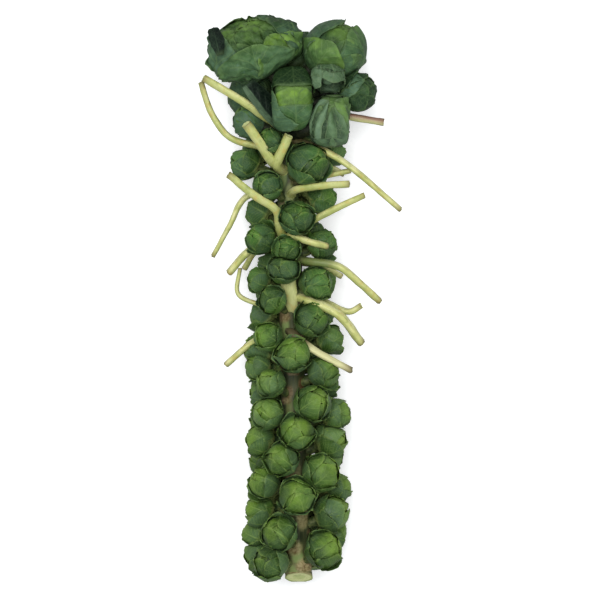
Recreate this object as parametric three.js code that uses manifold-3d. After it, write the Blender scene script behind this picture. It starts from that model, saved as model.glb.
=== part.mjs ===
// A cut stalk of Brussels sprouts, lying down: the woody stem with its cut leaf stalks, the sprouts
// that cover it, and the crown of looser heads at its top. Millimetres, +Z up. The stalk lies along Y
// with its cut end at -Y and its crown at +Y, and Z = 0 is the surface that it lies on.
import * as THREE from "three";
import { mergeVertices } from "three/addons/utils/BufferGeometryUtils.js";
import Module from "manifold-3d";

const wasm = await Module();
wasm.setup();

// Places are given on the stalk itself: `along` runs from the cut end to the crown, `across` runs to
// the right, and `height` is above the surface. The footprint's centre becomes the part's origin.
const FOOTPRINT_CENTRE = { along: 271, across: 2.5 };
const AXIS_HEIGHT = 46.8;
const AXIS_ACROSS = 1;
const AXIS_LEAN = -0.028; // sideways drift of the stem for each millimetre along it
const GAP = 0.4; // clearance between neighbouring pieces

// ---------------------------------------------------------------------------------------------
// The stem
// ---------------------------------------------------------------------------------------------
const STEM_LENGTH = 488;
const STEM_RADII = [[0, 11.6], [70, 12.2], [300, 10.8], [430, 9.8], [488, 8]];
const STEM_SIDES = 10;
const STEM_STEPS = 22;
const CUT_SLANT = 0.5; // the sloping cut lifts its pale face towards the sky

// Distance from the stem's axis to the sprouts' centres.
const RING_RADII = [[0, 34], [150, 33], [290, 30], [400, 33], [430, 33]];

function profile(table, along) {
  for (let i = 1; i < table.length; i += 1) {
    const [a0, r0] = table[i - 1];
    const [a1, r1] = table[i];
    if (along <= a1) return r0 + ((r1 - r0) * (Math.max(along, a0) - a0)) / (a1 - a0);
  }
  return table[table.length - 1][1];
}

const axisAcross = (along) => AXIS_ACROSS + AXIS_LEAN * along;

// A point of the part's frame from its place on the stalk.
function place(along, across, height) {
  return new THREE.Vector3(
    across - FOOTPRINT_CENTRE.across, along - FOOTPRINT_CENTRE.along, height);
}

const axisPoint = (along) => place(along, axisAcross(along), AXIS_HEIGHT);

// ---------------------------------------------------------------------------------------------
// The sprouts: [along, across, radius]. Those on the upper side stand on the ring above the axis,
// and those at the flanks sit just below it. The hidden underside follows the plant's own rule.
// ---------------------------------------------------------------------------------------------
const UPPER_SPROUTS = [
  [20, -26, 15.5], [33, 25, 16.5], [49, -18, 15.5], [68, -36, 13.5], [66.5, 32, 16],
  [84.5, -1.5, 16], [96, -32, 14], [105.5, 22, 16.5], [119, -15.5, 14.5], [136, -36, 13],
  [136, 30.5, 15.5], [145, -1, 15.5], [161.5, 35, 14], [162.5, -28.5, 14], [172, 14, 16.5],
  [191, -26, 13], [201.5, 24, 14.5], [206, -38, 12], [218.5, -4, 15.5], [233.5, 29.5, 13],
  [234.5, -28.5, 13], [251, 12.5, 17], [270, -24.5, 12.5], [285, 17, 15.5], [289, -37, 11],
  [300, -13, 13.5], [317, -10.5, 12], [323, 22, 13.5], [328, -35, 13.5], [348, -1, 15],
  [366.5, 23, 13.5], [377, -28.5, 13], [399, 9.5, 18.5], [400, -50, 14], [421, -26.5, 11],
];
const FLANK_SPROUTS = [
  [26, -37, 14], [46, -38, 14], [47.5, 32.5, 13.5], [90, 36, 14], [114, -33, 13.5],
  [119, 29, 13], [181.5, -32, 13.5], [190, 26, 13], [253.5, -32.5, 13], [353.5, -35, 13.5],
  [412, 32, 12],
];
const FLANK_DROP = 9;

const DIVERGENCE = -137.5; // degrees from one sprout to the next up the stem
const RISE = 5.4;
const FIRST_ALONG = 20;
const FIRST_ANGLE = 70;
const LAST_ALONG = 428;
const HIDDEN_SECTOR = 76; // degrees to each side of straight down
const HIDDEN_RADIUS = 15.2;
const HIDDEN_TAPER = 0.0055;
const HIDDEN_VARIATION = 0.9;
const CROWDING = 0.96; // how closely two sprouts may sit, as a share of their radii
const SETTLING_ROUNDS = 80;
const SETTLING_SHARE = 0.35;

function upperSprout([along, across, radius]) {
  const ring = profile(RING_RADII, along);
  const aside = across - axisAcross(along);
  const rise = Math.sqrt(Math.max(0, ring * ring - aside * aside));
  return { centre: place(along, across, AXIS_HEIGHT + rise), radius, along };
}

function flankSprout([along, across, radius]) {
  const ring = profile(RING_RADII, along);
  const aside = across - axisAcross(along);
  const drop = Math.max(FLANK_DROP, Math.sqrt(Math.max(0, ring * ring - aside * aside)));
  return { centre: place(along, across, AXIS_HEIGHT - drop), radius, along };
}

// The sprout at an angle round the stem, clockwise from straight up as seen from the cut end.
function ringCentre(along, degrees) {
  const angle = THREE.MathUtils.degToRad(degrees);
  const ring = profile(RING_RADII, along);
  return place(along, axisAcross(along) + ring * Math.sin(angle), AXIS_HEIGHT + ring * Math.cos(angle));
}

// Sprouts of the underside start on the spiral and settle into the room that their neighbours and
// the leaf stalks leave.
function hiddenSprouts(fixed) {
  const hidden = [];
  for (let k = 0; FIRST_ALONG + RISE * k < LAST_ALONG; k += 1) {
    const along = FIRST_ALONG + RISE * k;
    const angle = THREE.MathUtils.euclideanModulo(FIRST_ANGLE + DIVERGENCE * k, 360);
    if (Math.abs(angle - 180) > HIDDEN_SECTOR) continue;
    const radius = HIDDEN_RADIUS - HIDDEN_TAPER * along + HIDDEN_VARIATION * Math.sin(2.4 * k);
    hidden.push({ along, angle, radius, centre: ringCentre(along, angle) });
  }
  for (let round = 0; round < SETTLING_ROUNDS; round += 1) {
    for (const sprout of hidden) {
      const push = new THREE.Vector3();
      for (const other of [...fixed, ...hidden]) {
        if (other === sprout) continue;
        const away = sprout.centre.clone().sub(other.centre);
        const overlap = CROWDING * (sprout.radius + other.radius) - away.length();
        if (overlap > 0) push.addScaledVector(away.normalize(), overlap * SETTLING_SHARE);
      }
      const moved = sprout.centre.clone().add(push);
      sprout.along = THREE.MathUtils.clamp(moved.y + FOOTPRINT_CENTRE.along, 14, LAST_ALONG);
      const axis = axisPoint(sprout.along);
      sprout.angle = THREE.MathUtils.radToDeg(Math.atan2(moved.x - axis.x, moved.z - axis.z));
      sprout.centre = ringCentre(sprout.along, sprout.angle);
    }
  }
  return hidden;
}

const SPROUT_BACK = 15; // a sprout leans to the crown: its axis meets the stem's axis this far back
const STUB_SHARE = 0.31; // radius of a sprout's stub as a share of the sprout's

// Each sprout is a bud of four wrapped leaves: a free edge stands proud of the leaf beneath it.
const SPROUT_LEAVES = 4;
const EDGE_PLACES = [0, 0.5, 0.92];
const EDGE_LIFTS = [-0.5, -0.05, 0.5];
const SPROUT_STEP = 0.14;
const FACET_ALLOWANCE = 1.08; // flat faces lie inside a round sprout, so its corners stand further out
const SPROUT_TWIST = 0.5;
const SPROUT_ROWS = [30, 67, 105, 145]; // degrees from the tip
const SPROUT_FLATTEN = [0.96, 1.0, 1.01, 0.95];

function sproutBody(sprout, index) {
  const foot = axisPoint(sprout.along - SPROUT_BACK);
  return {
    centre: sprout.centre,
    tip: sprout.centre.clone().sub(foot).normalize(),
    radii: new THREE.Vector3().setScalar(sprout.radius * FACET_ALLOWANCE),
    leaves: SPROUT_LEAVES,
    rows: SPROUT_ROWS,
    flatten: SPROUT_FLATTEN,
    step: SPROUT_STEP,
    crinkle: 0,
    twist: SPROUT_TWIST,
    spin: index * 1.7,
    stub: { seat: foot, radius: sprout.radius * STUB_SHARE },
  };
}

// ---------------------------------------------------------------------------------------------
// The crown: looser heads with more leaves, each on a short stub from the top of the stem.
// ---------------------------------------------------------------------------------------------
const HEAD_ROWS = [16, 36, 58, 80, 102, 126, 150];
const SMALL_HEAD_ROWS = [22, 50, 80, 112, 144];
const CROWN_HEADS = [
  { name: "crown_terminal_head", at: [509, -41, 57], radii: [46, 32, 32], tip: [-0.3, 0.7, 0.65],
    root: 470, leaves: 7, rows: HEAD_ROWS, step: 0.13, crinkle: 0.07, spin: 0.4 },
  { name: "crown_round_head", at: [507, 34.5, 60], radii: [29, 28.5, 28], tip: [0.45, 0.6, 0.66],
    root: 470, leaves: 5, rows: HEAD_ROWS, step: 0.09, crinkle: 0, spin: 1.1 },
  { name: "crown_front_head", at: [460, -4, 80], radii: [21, 33, 20], tip: [0.05, 0.5, 0.86],
    root: 440, leaves: 5, rows: HEAD_ROWS, step: 0.1, crinkle: 0, spin: 2.2 },
  { name: "crown_side_head", at: [467, 56.5, 60], radii: [18, 18, 18], tip: [0.8, 0.4, 0.45],
    root: 450, leaves: 4, rows: SMALL_HEAD_ROWS, step: 0.12, crinkle: 0, spin: 0.2 },
  { name: "crown_leafy_head", at: [441, 30, 76], radii: [17, 24, 19], tip: [0.35, 0.45, 0.82],
    root: 425, leaves: 5, rows: SMALL_HEAD_ROWS, step: 0.15, crinkle: 0.05, spin: 1.9 },
  { name: "crown_small_fold", at: [477, 27, 83], radii: [15, 14, 12], tip: [0.2, 0.3, 0.93],
    root: 455, leaves: 3, rows: SMALL_HEAD_ROWS, step: 0.16, crinkle: 0, spin: 0.9 },
  { name: "crown_left_head", at: [440, -47, 53], radii: [15, 16, 15], tip: [-0.75, 0.4, 0.52],
    root: 425, leaves: 4, rows: SMALL_HEAD_ROWS, step: 0.12, crinkle: 0, spin: 2.9 },
  { name: "crown_under_middle", at: [500, 0, 24], radii: [26, 26, 25.5], tip: [0.1, 0.7, -0.7],
    root: 465, leaves: 5, rows: SMALL_HEAD_ROWS, step: 0.1, crinkle: 0, spin: 0.7 },
  { name: "crown_under_left", at: [467, -44, 20.5], radii: [24, 22, 22], tip: [-0.6, 0.4, -0.69],
    root: 440, leaves: 4, rows: SMALL_HEAD_ROWS, step: 0.12, crinkle: 0, spin: 1.5 },
  { name: "crown_under_right", at: [464, 22, 19], radii: [20, 19, 20.5], tip: [0.55, 0.4, -0.73],
    root: 440, leaves: 4, rows: SMALL_HEAD_ROWS, step: 0.12, crinkle: 0, spin: 2.4 },
];
const HEAD_TWIST = 0.7;
const HEAD_STUB = 6.5;

function crownBody(head) {
  return {
    ...head,
    centre: place(...head.at),
    tip: new THREE.Vector3(...head.tip).normalize(),
    radii: new THREE.Vector3(...head.radii),
    flatten: head.rows.map(() => 1),
    twist: HEAD_TWIST,
    stub: { seat: axisPoint(head.root), radius: HEAD_STUB },
  };
}

// ---------------------------------------------------------------------------------------------
// The cut leaf stalks: [along, across, height] from the stem to the cut tip, with their width at
// the root and at the tip. A flatness under 1 presses the section towards the stem.
// ---------------------------------------------------------------------------------------------
const LEAF_STALKS = [
  { widths: [10, 9], route: [[436, -17, 52], [445, -33, 66], [456, -49, 75], [480, -89, 80]] },
  { widths: [8, 7], route: [[412, -18, 46], [417, -40, 54], [425, -65, 58], [448, -82, 60], [477, -92, 61]] },
  { widths: [11, 10.5], route: [[394, -13, 50], [402, -25, 71], [420, -37, 84], [436, -48.5, 91]] },
  { widths: [10, 9], route: [[391, -12, 50], [398, -20, 70], [411, -15, 80], [425, -8.5, 84]] },
  { widths: [8, 6], route: [[422, -4, 50], [413, 22, 67], [397, 48.5, 68], [356, 98, 50]] },
  { widths: [7, 6], route: [[383, -4, 46], [387, 20, 54], [393, 50, 60]] },
  { widths: [9, 8], route: [[369, -7, 50], [374, -3, 66], [378, 20, 77], [380, 48.5, 74]] },
  { widths: [9, 7.5], route: [[338, -2, 48], [346, 14, 61], [358, 38, 70], [369.5, 62.7, 67]] },
  { widths: [10, 8], route: [[322, -12, 50], [338, -17, 64], [354, -20, 74], [370, -43, 82], [388.5, -65.5, 80]] },
  { widths: [8, 5], route: [[376, -16, 44], [368, -50, 48], [340, -66, 44], [311.6, -81.7, 36]] },
  { widths: [9, 7.5], route: [[329, -10, 50], [331, -6, 67], [325, 12, 74], [321, 28, 69]] },
  { widths: [9, 8], route: [[328, -16, 44], [318, -45, 50], [295.5, -66.5, 44]] },
  { widths: [7, 7], route: [[323, -14, 38], [317, -40, 35], [300, -52, 28]] },
  { widths: [6, 4.5], route: [[260, -12, 44], [266, -38, 48], [276, -57, 50], [300, -55, 48]] },
  { widths: [9, 8], route: [[309, -4, 50], [307, 9, 66], [302, 38, 71], [286, 59, 61], [269, 78, 46]] },
  { widths: [11, 17], flatness: 0.5, route: [[256, -5, 52], [264, -6, 59], [291, -10, 63]] },
  { widths: [11, 9.5], route: [[274, -3, 50], [270, 9, 67], [256.5, 38, 69], [229, 60.8, 52]] },
  { widths: [8, 7], route: [[276, -1, 44], [270, 22, 48], [259, 48.5, 58], [265, 60, 61]] },
  { widths: [9, 7], route: [[241, -8, 50], [239, -6, 65], [226, 13, 74], [203, 51, 62]] },
  { widths: [8, 7], route: [[240, -14, 44], [231, -41, 48], [208, -69.4, 40]] },
  { widths: [9, 8], route: [[443, -6, 48], [447, 25, 57], [439, 81.7, 60]] },
  { widths: [8, 7], route: [[307, -2, 40], [303, 22, 30], [293, 42, 22]] },
  { widths: [8, 7], route: [[376, -14, 40], [386, -34, 31], [396, -50, 24]] },
  { widths: [8, 7], route: [[404, -4, 40], [402, 22, 30], [391, 44, 22]] },
  { widths: [8, 7], route: [[234, -10, 40], [229, -30, 30], [220, -46, 23]] },
  { widths: [8, 7], route: [[332, -8, 40], [324, -5, 22], [312, -3, 8]] },
];
const STALK_SIDES = 6;
const STALK_STEPS = 5;
const BEAD_SHARES = [0.1, 0.25, 0.4, 0.55, 0.7, 0.85];
const BEAD_RADIUS = 4.5;

// ---------------------------------------------------------------------------------------------
// The loose leaves of the crown: a midrib line with the blade's full width and its upward side.
// ---------------------------------------------------------------------------------------------
const BLADE_THICKNESS = 1.4;
const BLADE_CUP = 0.3;
const LOOSE_LEAVES = {
  torn_leaf: { midrib: [[428, -15, 64], [448, -30, 80], [472, -50, 84]], width: 22, side: [0.8, 0.6, 0] },
  terminal_tip: { midrib: [[500, -64, 58], [512, -77, 66], [525, -84, 66]], width: 17, side: [0.6, 0.7, 0.3] },
  leafy_tip: { midrib: [[436, 24, 66], [428, 36, 62], [421, 43, 58]], width: 14, side: [0.5, -0.8, 0] },
};

// ---------------------------------------------------------------------------------------------
// Solids
// ---------------------------------------------------------------------------------------------
function toManifold(geometry) {
  geometry.deleteAttribute("normal");
  geometry.deleteAttribute("uv");
  const merged = mergeVertices(geometry, 1e-4);
  return new wasm.Manifold(new wasm.Mesh({
    numProp: 3,
    vertProperties: new Float32Array(merged.attributes.position.array),
    triVerts: new Uint32Array(merged.index.array),
  }));
}

function moveVertices(geometry, move) {
  const position = geometry.attributes.position;
  for (let i = 0; i < position.count; i += 1) {
    const moved = move(new THREE.Vector3().fromBufferAttribute(position, i), i);
    position.setXYZ(i, moved.x, moved.y, moved.z);
  }
  return geometry;
}

// The largest of the bodies that a cut leaves.
function largestPiece(solid) {
  const pieces = solid.decompose();
  return pieces.reduce((best, piece) => (piece.volume() > best.volume() ? piece : best));
}

// A head of wrapped leaves round its centre, kept to its own side of each boundary plane, with a
// stub that runs back into the stem.
function headSolid(body, extra = 0) {
  const perLeaf = EDGE_PLACES.length;
  const columns = body.leaves * perLeaf;
  const rowCount = body.rows.length;
  const side = new THREE.Vector3(0.31, 0.22, 0.92).cross(body.tip).normalize();
  const up = new THREE.Vector3().crossVectors(side, body.tip);
  const geometry = new THREE.SphereGeometry(1, columns, rowCount + 2);

  moveVertices(geometry, (_, index) => {
    const column = (index % (columns + 1)) % columns;
    const row = Math.floor(index / (columns + 1));
    const leaf = Math.floor(column / perLeaf);
    const within = column % perLeaf;
    const turn = ((leaf + EDGE_PLACES[within]) / body.leaves) * 2 * Math.PI + body.spin;
    if (row > rowCount) return stubPoint(body, side, up, turn, row > rowCount + 1, extra);

    const polar = row === 0 ? 0 : THREE.MathUtils.degToRad(body.rows[row - 1]);
    const angle = turn + body.twist * (Math.PI / 2 - polar);
    const reach = row === 0 ? 0.95 : body.flatten[row - 1] + body.step * EDGE_LIFTS[within]
      + body.crinkle * Math.sin(3 * leaf + 5 * polar) * Math.cos(2 * column + 3 * polar);
    const offset = side.clone().multiplyScalar(-Math.cos(angle) * Math.sin(polar))
      .addScaledVector(body.tip, Math.cos(polar))
      .addScaledVector(up, Math.sin(angle) * Math.sin(polar))
      .multiply(body.radii).multiplyScalar(reach);
    if (body.partner) reachPartner(body, offset);
    for (const plane of body.planes) {
      const depth = offset.dot(plane.normal);
      if (depth > plane.limit) offset.multiplyScalar(plane.limit / depth);
    }
    return body.centre.clone().addScaledVector(offset, 1 + extra / offset.length());
  });
  return toManifold(geometry);
}

// The end of a stub, shaped to the round of the stem that it stands on.
const SEAT_HOLLOW = 0.3;
function stubPoint(body, side, up, turn, atMiddle, extra) {
  const radius = atMiddle ? 0 : body.stub.radius + extra;
  const start = body.centre.clone()
    .addScaledVector(side, -Math.cos(turn) * radius)
    .addScaledVector(up, Math.sin(turn) * radius);
  const travel = body.stub.seat.clone().sub(body.centre);
  const clearance = GAP - extra + (atMiddle ? SEAT_HOLLOW : 0);
  let outside = 0;
  let inside = 1;
  for (let halving = 0; halving < 20; halving += 1) {
    const share = (outside + inside) / 2;
    const point = start.clone().addScaledVector(travel, share);
    if (stemDistance(point) > clearance) outside = share;
    else inside = share;
  }
  const point = start.addScaledVector(travel, outside);
  for (const plane of body.planes) {
    const depth = point.clone().sub(body.centre).dot(plane.normal) - plane.limit;
    if (depth > 0) point.addScaledVector(plane.normal, -depth);
  }
  return point;
}

function stemDistance(point) {
  const along = point.y + FOOTPRINT_CENTRE.along;
  const axis = axisPoint(along);
  return Math.hypot(point.x - axis.x, point.z - axis.z) - profile(STEM_RADII, along);
}

// Two sprouts grown together press a flat face on each other, and overlap a little there.
const PARTNER_OVERLAP = 0.7;
const PARTNER_CONE = 0.8;
function reachPartner(body, offset) {
  const facing = offset.dot(body.partner.normal) / offset.length();
  if (facing < PARTNER_CONE) return;
  const wanted = (body.partner.limit + PARTNER_OVERLAP) / facing;
  offset.setLength(wanted);
}

function nominalReach(body, normal) {
  return body.radii.clone().multiply(normal).length();
}

function boundary(body, other) {
  const normal = other.centre.clone().sub(body.centre);
  const distance = normal.length();
  normal.divideScalar(distance);
  const mine = nominalReach(body, normal);
  const theirs = nominalReach(other, normal);
  return { normal, distance, limit: (distance * mine) / (mine + theirs), spare: distance - mine - theirs };
}

const NEIGHBOUR_MARGIN = 30;
function findPlanes(bodies) {
  for (const body of bodies) {
    body.planes = [];
    for (const other of bodies) {
      if (other === body || other === body.mate) continue;
      const plane = boundary(body, other);
      if (plane.spare > NEIGHBOUR_MARGIN) continue;
      body.planes.push({ normal: plane.normal, limit: plane.limit - GAP / 2 });
    }
  }
}

// A tapered stalk swept along its route.
function leafStalkSolid(stalk, extra = 0) {
  const curve = new THREE.CatmullRomCurve3(stalk.route.map((point) => place(...point)));
  const frames = curve.computeFrenetFrames(STALK_STEPS);
  const geometry = new THREE.CylinderGeometry(1, 1, 1, STALK_SIDES, STALK_STEPS);
  moveVertices(geometry, (point) => {
    const share = point.y + 0.5;
    const step = Math.round(share * STALK_STEPS);
    const radius = THREE.MathUtils.lerp(stalk.widths[0], stalk.widths[1], share) / 2 + extra;
    const across = new THREE.Vector3().addScaledVector(frames.normals[step], point.x)
      .addScaledVector(frames.binormals[step], -point.z).multiplyScalar(radius);
    if (stalk.flatness) across.z *= stalk.flatness;
    const overrun = (step === STALK_STEPS ? extra : 0);
    return curve.getPointAt(share).addScaledVector(frames.tangents[step], overrun).add(across);
  });
  return toManifold(geometry);
}

// Round places along the outer half of every leaf stalk, which the hidden sprouts stay clear of.
function stalkBeads() {
  return LEAF_STALKS.flatMap((stalk) => {
    const curve = new THREE.CatmullRomCurve3(stalk.route.map((point) => place(...point)));
    return BEAD_SHARES.map((share) => ({ centre: curve.getPointAt(share), radius: BEAD_RADIUS }));
  });
}

// The stem, cut on the slope at its foot.
function stemSolid(extra = 0) {
  const geometry = new THREE.CylinderGeometry(1, 1, 1, STEM_SIDES, STEM_STEPS);
  moveVertices(geometry, (point) => {
    const share = point.y + 0.5;
    const along = share * STEM_LENGTH;
    const round = new THREE.Vector3(point.x, 0, point.z);
    const moved = axisPoint(along).addScaledVector(round, profile(STEM_RADII, along) + extra);
    if (share === 0) moved.y += CUT_SLANT * (moved.z - AXIS_HEIGHT + STEM_RADII[0][1]);
    return moved;
  });
  return toManifold(geometry);
}

// A leaf blade: an arched sheet that narrows to both ends, with the same split on both faces.
const BLADE_LONG = 8;
const BLADE_WIDE = 4;
function bladeSolid({ midrib, width, side }) {
  const curve = new THREE.CatmullRomCurve3(midrib.map((point) => place(...point)));
  const sideways = new THREE.Vector3(...side).normalize();
  const geometry = new THREE.BoxGeometry(1, 1, 1, BLADE_WIDE, BLADE_LONG, 1);
  moveVertices(geometry, (point) => {
    const share = point.y + 0.5;
    const half = (width / 2) * (0.35 + 0.65 * Math.sin(Math.PI * (0.12 + 0.76 * share)));
    const face = new THREE.Vector3().crossVectors(sideways, curve.getTangentAt(share)).normalize();
    const arch = BLADE_CUP * half * (2 * point.x) ** 2;
    return curve.getPointAt(share)
      .addScaledVector(sideways, 2 * point.x * half)
      .addScaledVector(face, point.z * BLADE_THICKNESS - arch);
  });
  return toManifold(geometry);
}

// ---------------------------------------------------------------------------------------------
// Putting the stalk together
// ---------------------------------------------------------------------------------------------
const MOST_NODES = 59;

const shown = [...UPPER_SPROUTS.map(upperSprout), ...FLANK_SPROUTS.map(flankSprout)];
const sprouts = [...shown, ...hiddenSprouts([...shown, ...stalkBeads()])];
const sproutBodies = sprouts.map(sproutBody);
const crownBodies = CROWN_HEADS.map(crownBody);

// The closest sprouts share a node two by two, so that the whole stays within the limit on nodes.
function pairSprouts(bodies, pairCount) {
  const links = [];
  bodies.forEach((body, i) => {
    for (let j = i + 1; j < bodies.length; j += 1) {
      links.push({ body, other: bodies[j], spare: boundary(body, bodies[j]).spare });
    }
  });
  links.sort((a, b) => a.spare - b.spare);
  let made = 0;
  for (const { body, other } of links) {
    if (made === pairCount) break;
    if (body.mate || other.mate) continue;
    body.mate = other;
    other.mate = body;
    body.partner = boundary(body, other);
    other.partner = boundary(other, body);
    made += 1;
  }
}

const OTHER_NODES = 2; // the stem with its leaf stalks, and the torn leaf
pairSprouts(sproutBodies, sproutBodies.length + crownBodies.length + OTHER_NODES - MOST_NODES);
findPlanes([...sproutBodies, ...crownBodies]);

const LEAF = { roughness: 0.55, metalness: 0 };
const COLOURS = { sprout: 0x557037, crown: 0x4f6948, stem: 0x9fa86a, leaf: 0x2c4230 };

function meshOf(name, solid, colour) {
  const { vertProperties, triVerts } = solid.getMesh();
  const geometry = new THREE.BufferGeometry();
  geometry.setAttribute("position", new THREE.BufferAttribute(new Float32Array(vertProperties), 3));
  geometry.setIndex(new THREE.BufferAttribute(new Uint32Array(triVerts), 1));
  geometry.computeVertexNormals();
  const mesh = new THREE.Mesh(geometry, new THREE.MeshStandardMaterial({ color: colour, ...LEAF }));
  mesh.name = name;
  return mesh;
}

const union = (solids) => solids.reduce((whole, solid) => whole.add(solid));
const aboveSurface = (solid) => solid.trimByPlane([0, 0, 1], 0);

const stalkSolid = union([stemSolid(), ...LEAF_STALKS.map((stalk) => leafStalkSolid(stalk))]);
const leafStalkSpace = union(LEAF_STALKS.map((stalk) => leafStalkSolid(stalk, GAP)));
const stalkSpace = leafStalkSpace.add(stemSolid(GAP));

const part = new THREE.Group();
part.add(meshOf("stem_and_leaf_stalks", stalkSolid, COLOURS.stem));

const headSpaces = crownBodies.map((body) => headSolid(body, GAP));
const sproutSpaces = sproutBodies.map((body) => headSolid(body, GAP));

// A loose leaf is cut clear of the stem and of every head but the one that it may grow from.
function looseLeaf(name, owner) {
  let solid = bladeSolid(LOOSE_LEAVES[name]).subtract(stalkSpace);
  headSpaces.forEach((space, i) => {
    if (crownBodies[i].name !== owner) solid = solid.subtract(space);
  });
  for (const space of sproutSpaces) solid = solid.subtract(space);
  return largestPiece(solid);
}

const OWN_LEAVES = { crown_terminal_head: "terminal_tip", crown_leafy_head: "leafy_tip" };
const tornLeaf = looseLeaf("torn_leaf", null);
part.add(meshOf("crown_torn_leaf", tornLeaf, COLOURS.leaf));

for (const body of crownBodies) {
  let solid = headSolid(body);
  if (OWN_LEAVES[body.name]) solid = solid.add(looseLeaf(OWN_LEAVES[body.name], body.name));
  part.add(meshOf(body.name, largestPiece(aboveSurface(solid.subtract(stalkSpace))), COLOURS.crown));
}

let number = 0;
for (const body of sproutBodies) {
  if (body.done) continue;
  body.done = true;
  let solid = largestPiece(headSolid(body).subtract(leafStalkSpace));
  if (body.mate) {
    body.mate.done = true;
    solid = solid.add(largestPiece(headSolid(body.mate).subtract(leafStalkSpace)));
  }
  number += 1;
  part.add(meshOf(`sprouts_${String(number).padStart(2, "0")}`, largestPiece(aboveSurface(solid)), COLOURS.sprout));
}

export default part;
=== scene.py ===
# A cut stalk of Brussels sprouts, lying on a pale table with its crown at +Y and its cut foot at -Y.
# Places on the stalk are written in millimetres; each finished piece is turned to metres.
import math
import random

import bmesh
import bpy
from mathutils import Matrix, Vector, noise


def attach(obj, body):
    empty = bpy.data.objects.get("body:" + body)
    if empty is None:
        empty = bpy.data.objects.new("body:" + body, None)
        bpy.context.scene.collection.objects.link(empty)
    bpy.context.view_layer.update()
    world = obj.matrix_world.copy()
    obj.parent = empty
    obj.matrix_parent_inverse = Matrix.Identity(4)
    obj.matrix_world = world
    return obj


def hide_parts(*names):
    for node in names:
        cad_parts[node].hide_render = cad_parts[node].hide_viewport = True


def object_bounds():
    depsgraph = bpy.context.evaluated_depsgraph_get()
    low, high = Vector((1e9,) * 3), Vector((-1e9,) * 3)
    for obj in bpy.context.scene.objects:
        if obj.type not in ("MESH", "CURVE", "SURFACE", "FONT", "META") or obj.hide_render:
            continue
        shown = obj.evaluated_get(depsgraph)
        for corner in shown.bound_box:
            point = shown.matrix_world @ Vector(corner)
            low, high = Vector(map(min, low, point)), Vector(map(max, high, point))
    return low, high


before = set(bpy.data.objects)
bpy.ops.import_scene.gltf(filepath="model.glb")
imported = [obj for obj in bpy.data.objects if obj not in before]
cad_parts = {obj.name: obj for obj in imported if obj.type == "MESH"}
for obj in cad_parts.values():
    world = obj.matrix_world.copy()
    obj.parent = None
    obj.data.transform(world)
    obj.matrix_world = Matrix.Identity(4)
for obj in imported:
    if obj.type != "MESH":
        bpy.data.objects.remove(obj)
cad_low, cad_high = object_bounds()

# ==============================
# The places on the stem. A Brussels sprout plant sets one bud above every leaf, on a spiral of
# 137.5 degrees, so the sprouts of the upper side are placed one by one and the ones underneath
# follow the spiral and settle into the room that is left.
FOOTPRINT_ALONG, FOOTPRINT_ACROSS = 271.0, 2.5
AXIS_HEIGHT, AXIS_ACROSS, AXIS_LEAN = 46.8, 1.0, -0.028
RING_RADII = ((0, 34), (150, 33), (290, 30), (400, 33), (430, 33))

# The sprouts that show: along, across, radius.
UPPER_SPROUTS = (
    (20, -26, 15.5), (33, 25, 16.5), (49, -18, 15.5), (68, -36, 13.5), (66.5, 32, 16),
    (84.5, -1.5, 16), (96, -32, 14), (105.5, 22, 16.5), (119, -15.5, 14.5), (136, -36, 13),
    (136, 30.5, 15.5), (145, -1, 15.5), (161.5, 35, 14), (162.5, -28.5, 14), (172, 14, 16.5),
    (191, -26, 13), (201.5, 24, 14.5), (206, -38, 12), (218.5, -4, 15.5), (233.5, 29.5, 13),
    (234.5, -28.5, 13), (251, 12.5, 17), (270, -24.5, 12.5), (285, 17, 15.5), (289, -37, 11),
    (300, -13, 13.5), (317, -10.5, 12), (323, 22, 13.5), (328, -35, 13.5), (348, -1, 15),
    (366.5, 23, 13.5), (377, -28.5, 13), (399, 9.5, 18.5), (400, -50, 14), (421, -26.5, 11),
)
FLANK_SPROUTS = (
    (26, -37, 14), (46, -38, 14), (47.5, 32.5, 13.5), (90, 36, 14), (114, -33, 13.5),
    (119, 29, 13), (181.5, -32, 13.5), (190, 26, 13), (253.5, -32.5, 13), (353.5, -35, 13.5),
    (412, 32, 12),
)
FLANK_DROP, LOWEST_ALONG = 9.0, 14.0
DIVERGENCE, RISE, FIRST_ALONG, FIRST_ANGLE, LAST_ALONG = -137.5, 5.4, 20.0, 70.0, 428.0
HIDDEN_SECTOR, HIDDEN_RADIUS, HIDDEN_TAPER = 76.0, 15.2, 0.0055
HIDDEN_VARIATION, VARIATION_PACE = 0.9, 2.4
CROWDING, SETTLING_ROUNDS, SETTLING_SHARE = 0.96, 80, 0.35
WAY_STEPS, BEAD_SHARES, BEAD_RADIUS = 200, (0.1, 0.25, 0.4, 0.55, 0.7, 0.85), 4.5


def profile(table, along):
    """Reads a table of places along the stem and their values, straight between its rows."""
    for (a0, r0), (a1, r1) in zip(table, table[1:]):
        if along <= a1:
            return r0 + (r1 - r0) * (max(along, a0) - a0) / (a1 - a0)
    return table[-1][1]


def place(along, across, height):
    """A place on the stalk as a point in the frame's axes, in millimetres."""
    return Vector((across - FOOTPRINT_ACROSS, along - FOOTPRINT_ALONG, height))


def axis_point(along):
    return place(along, AXIS_ACROSS + AXIS_LEAN * along, AXIS_HEIGHT)


def ring_centre(along, degrees):
    ring, angle = profile(RING_RADII, along), math.radians(degrees)
    return axis_point(along) + Vector((math.sin(angle), 0, math.cos(angle))) * ring


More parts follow.
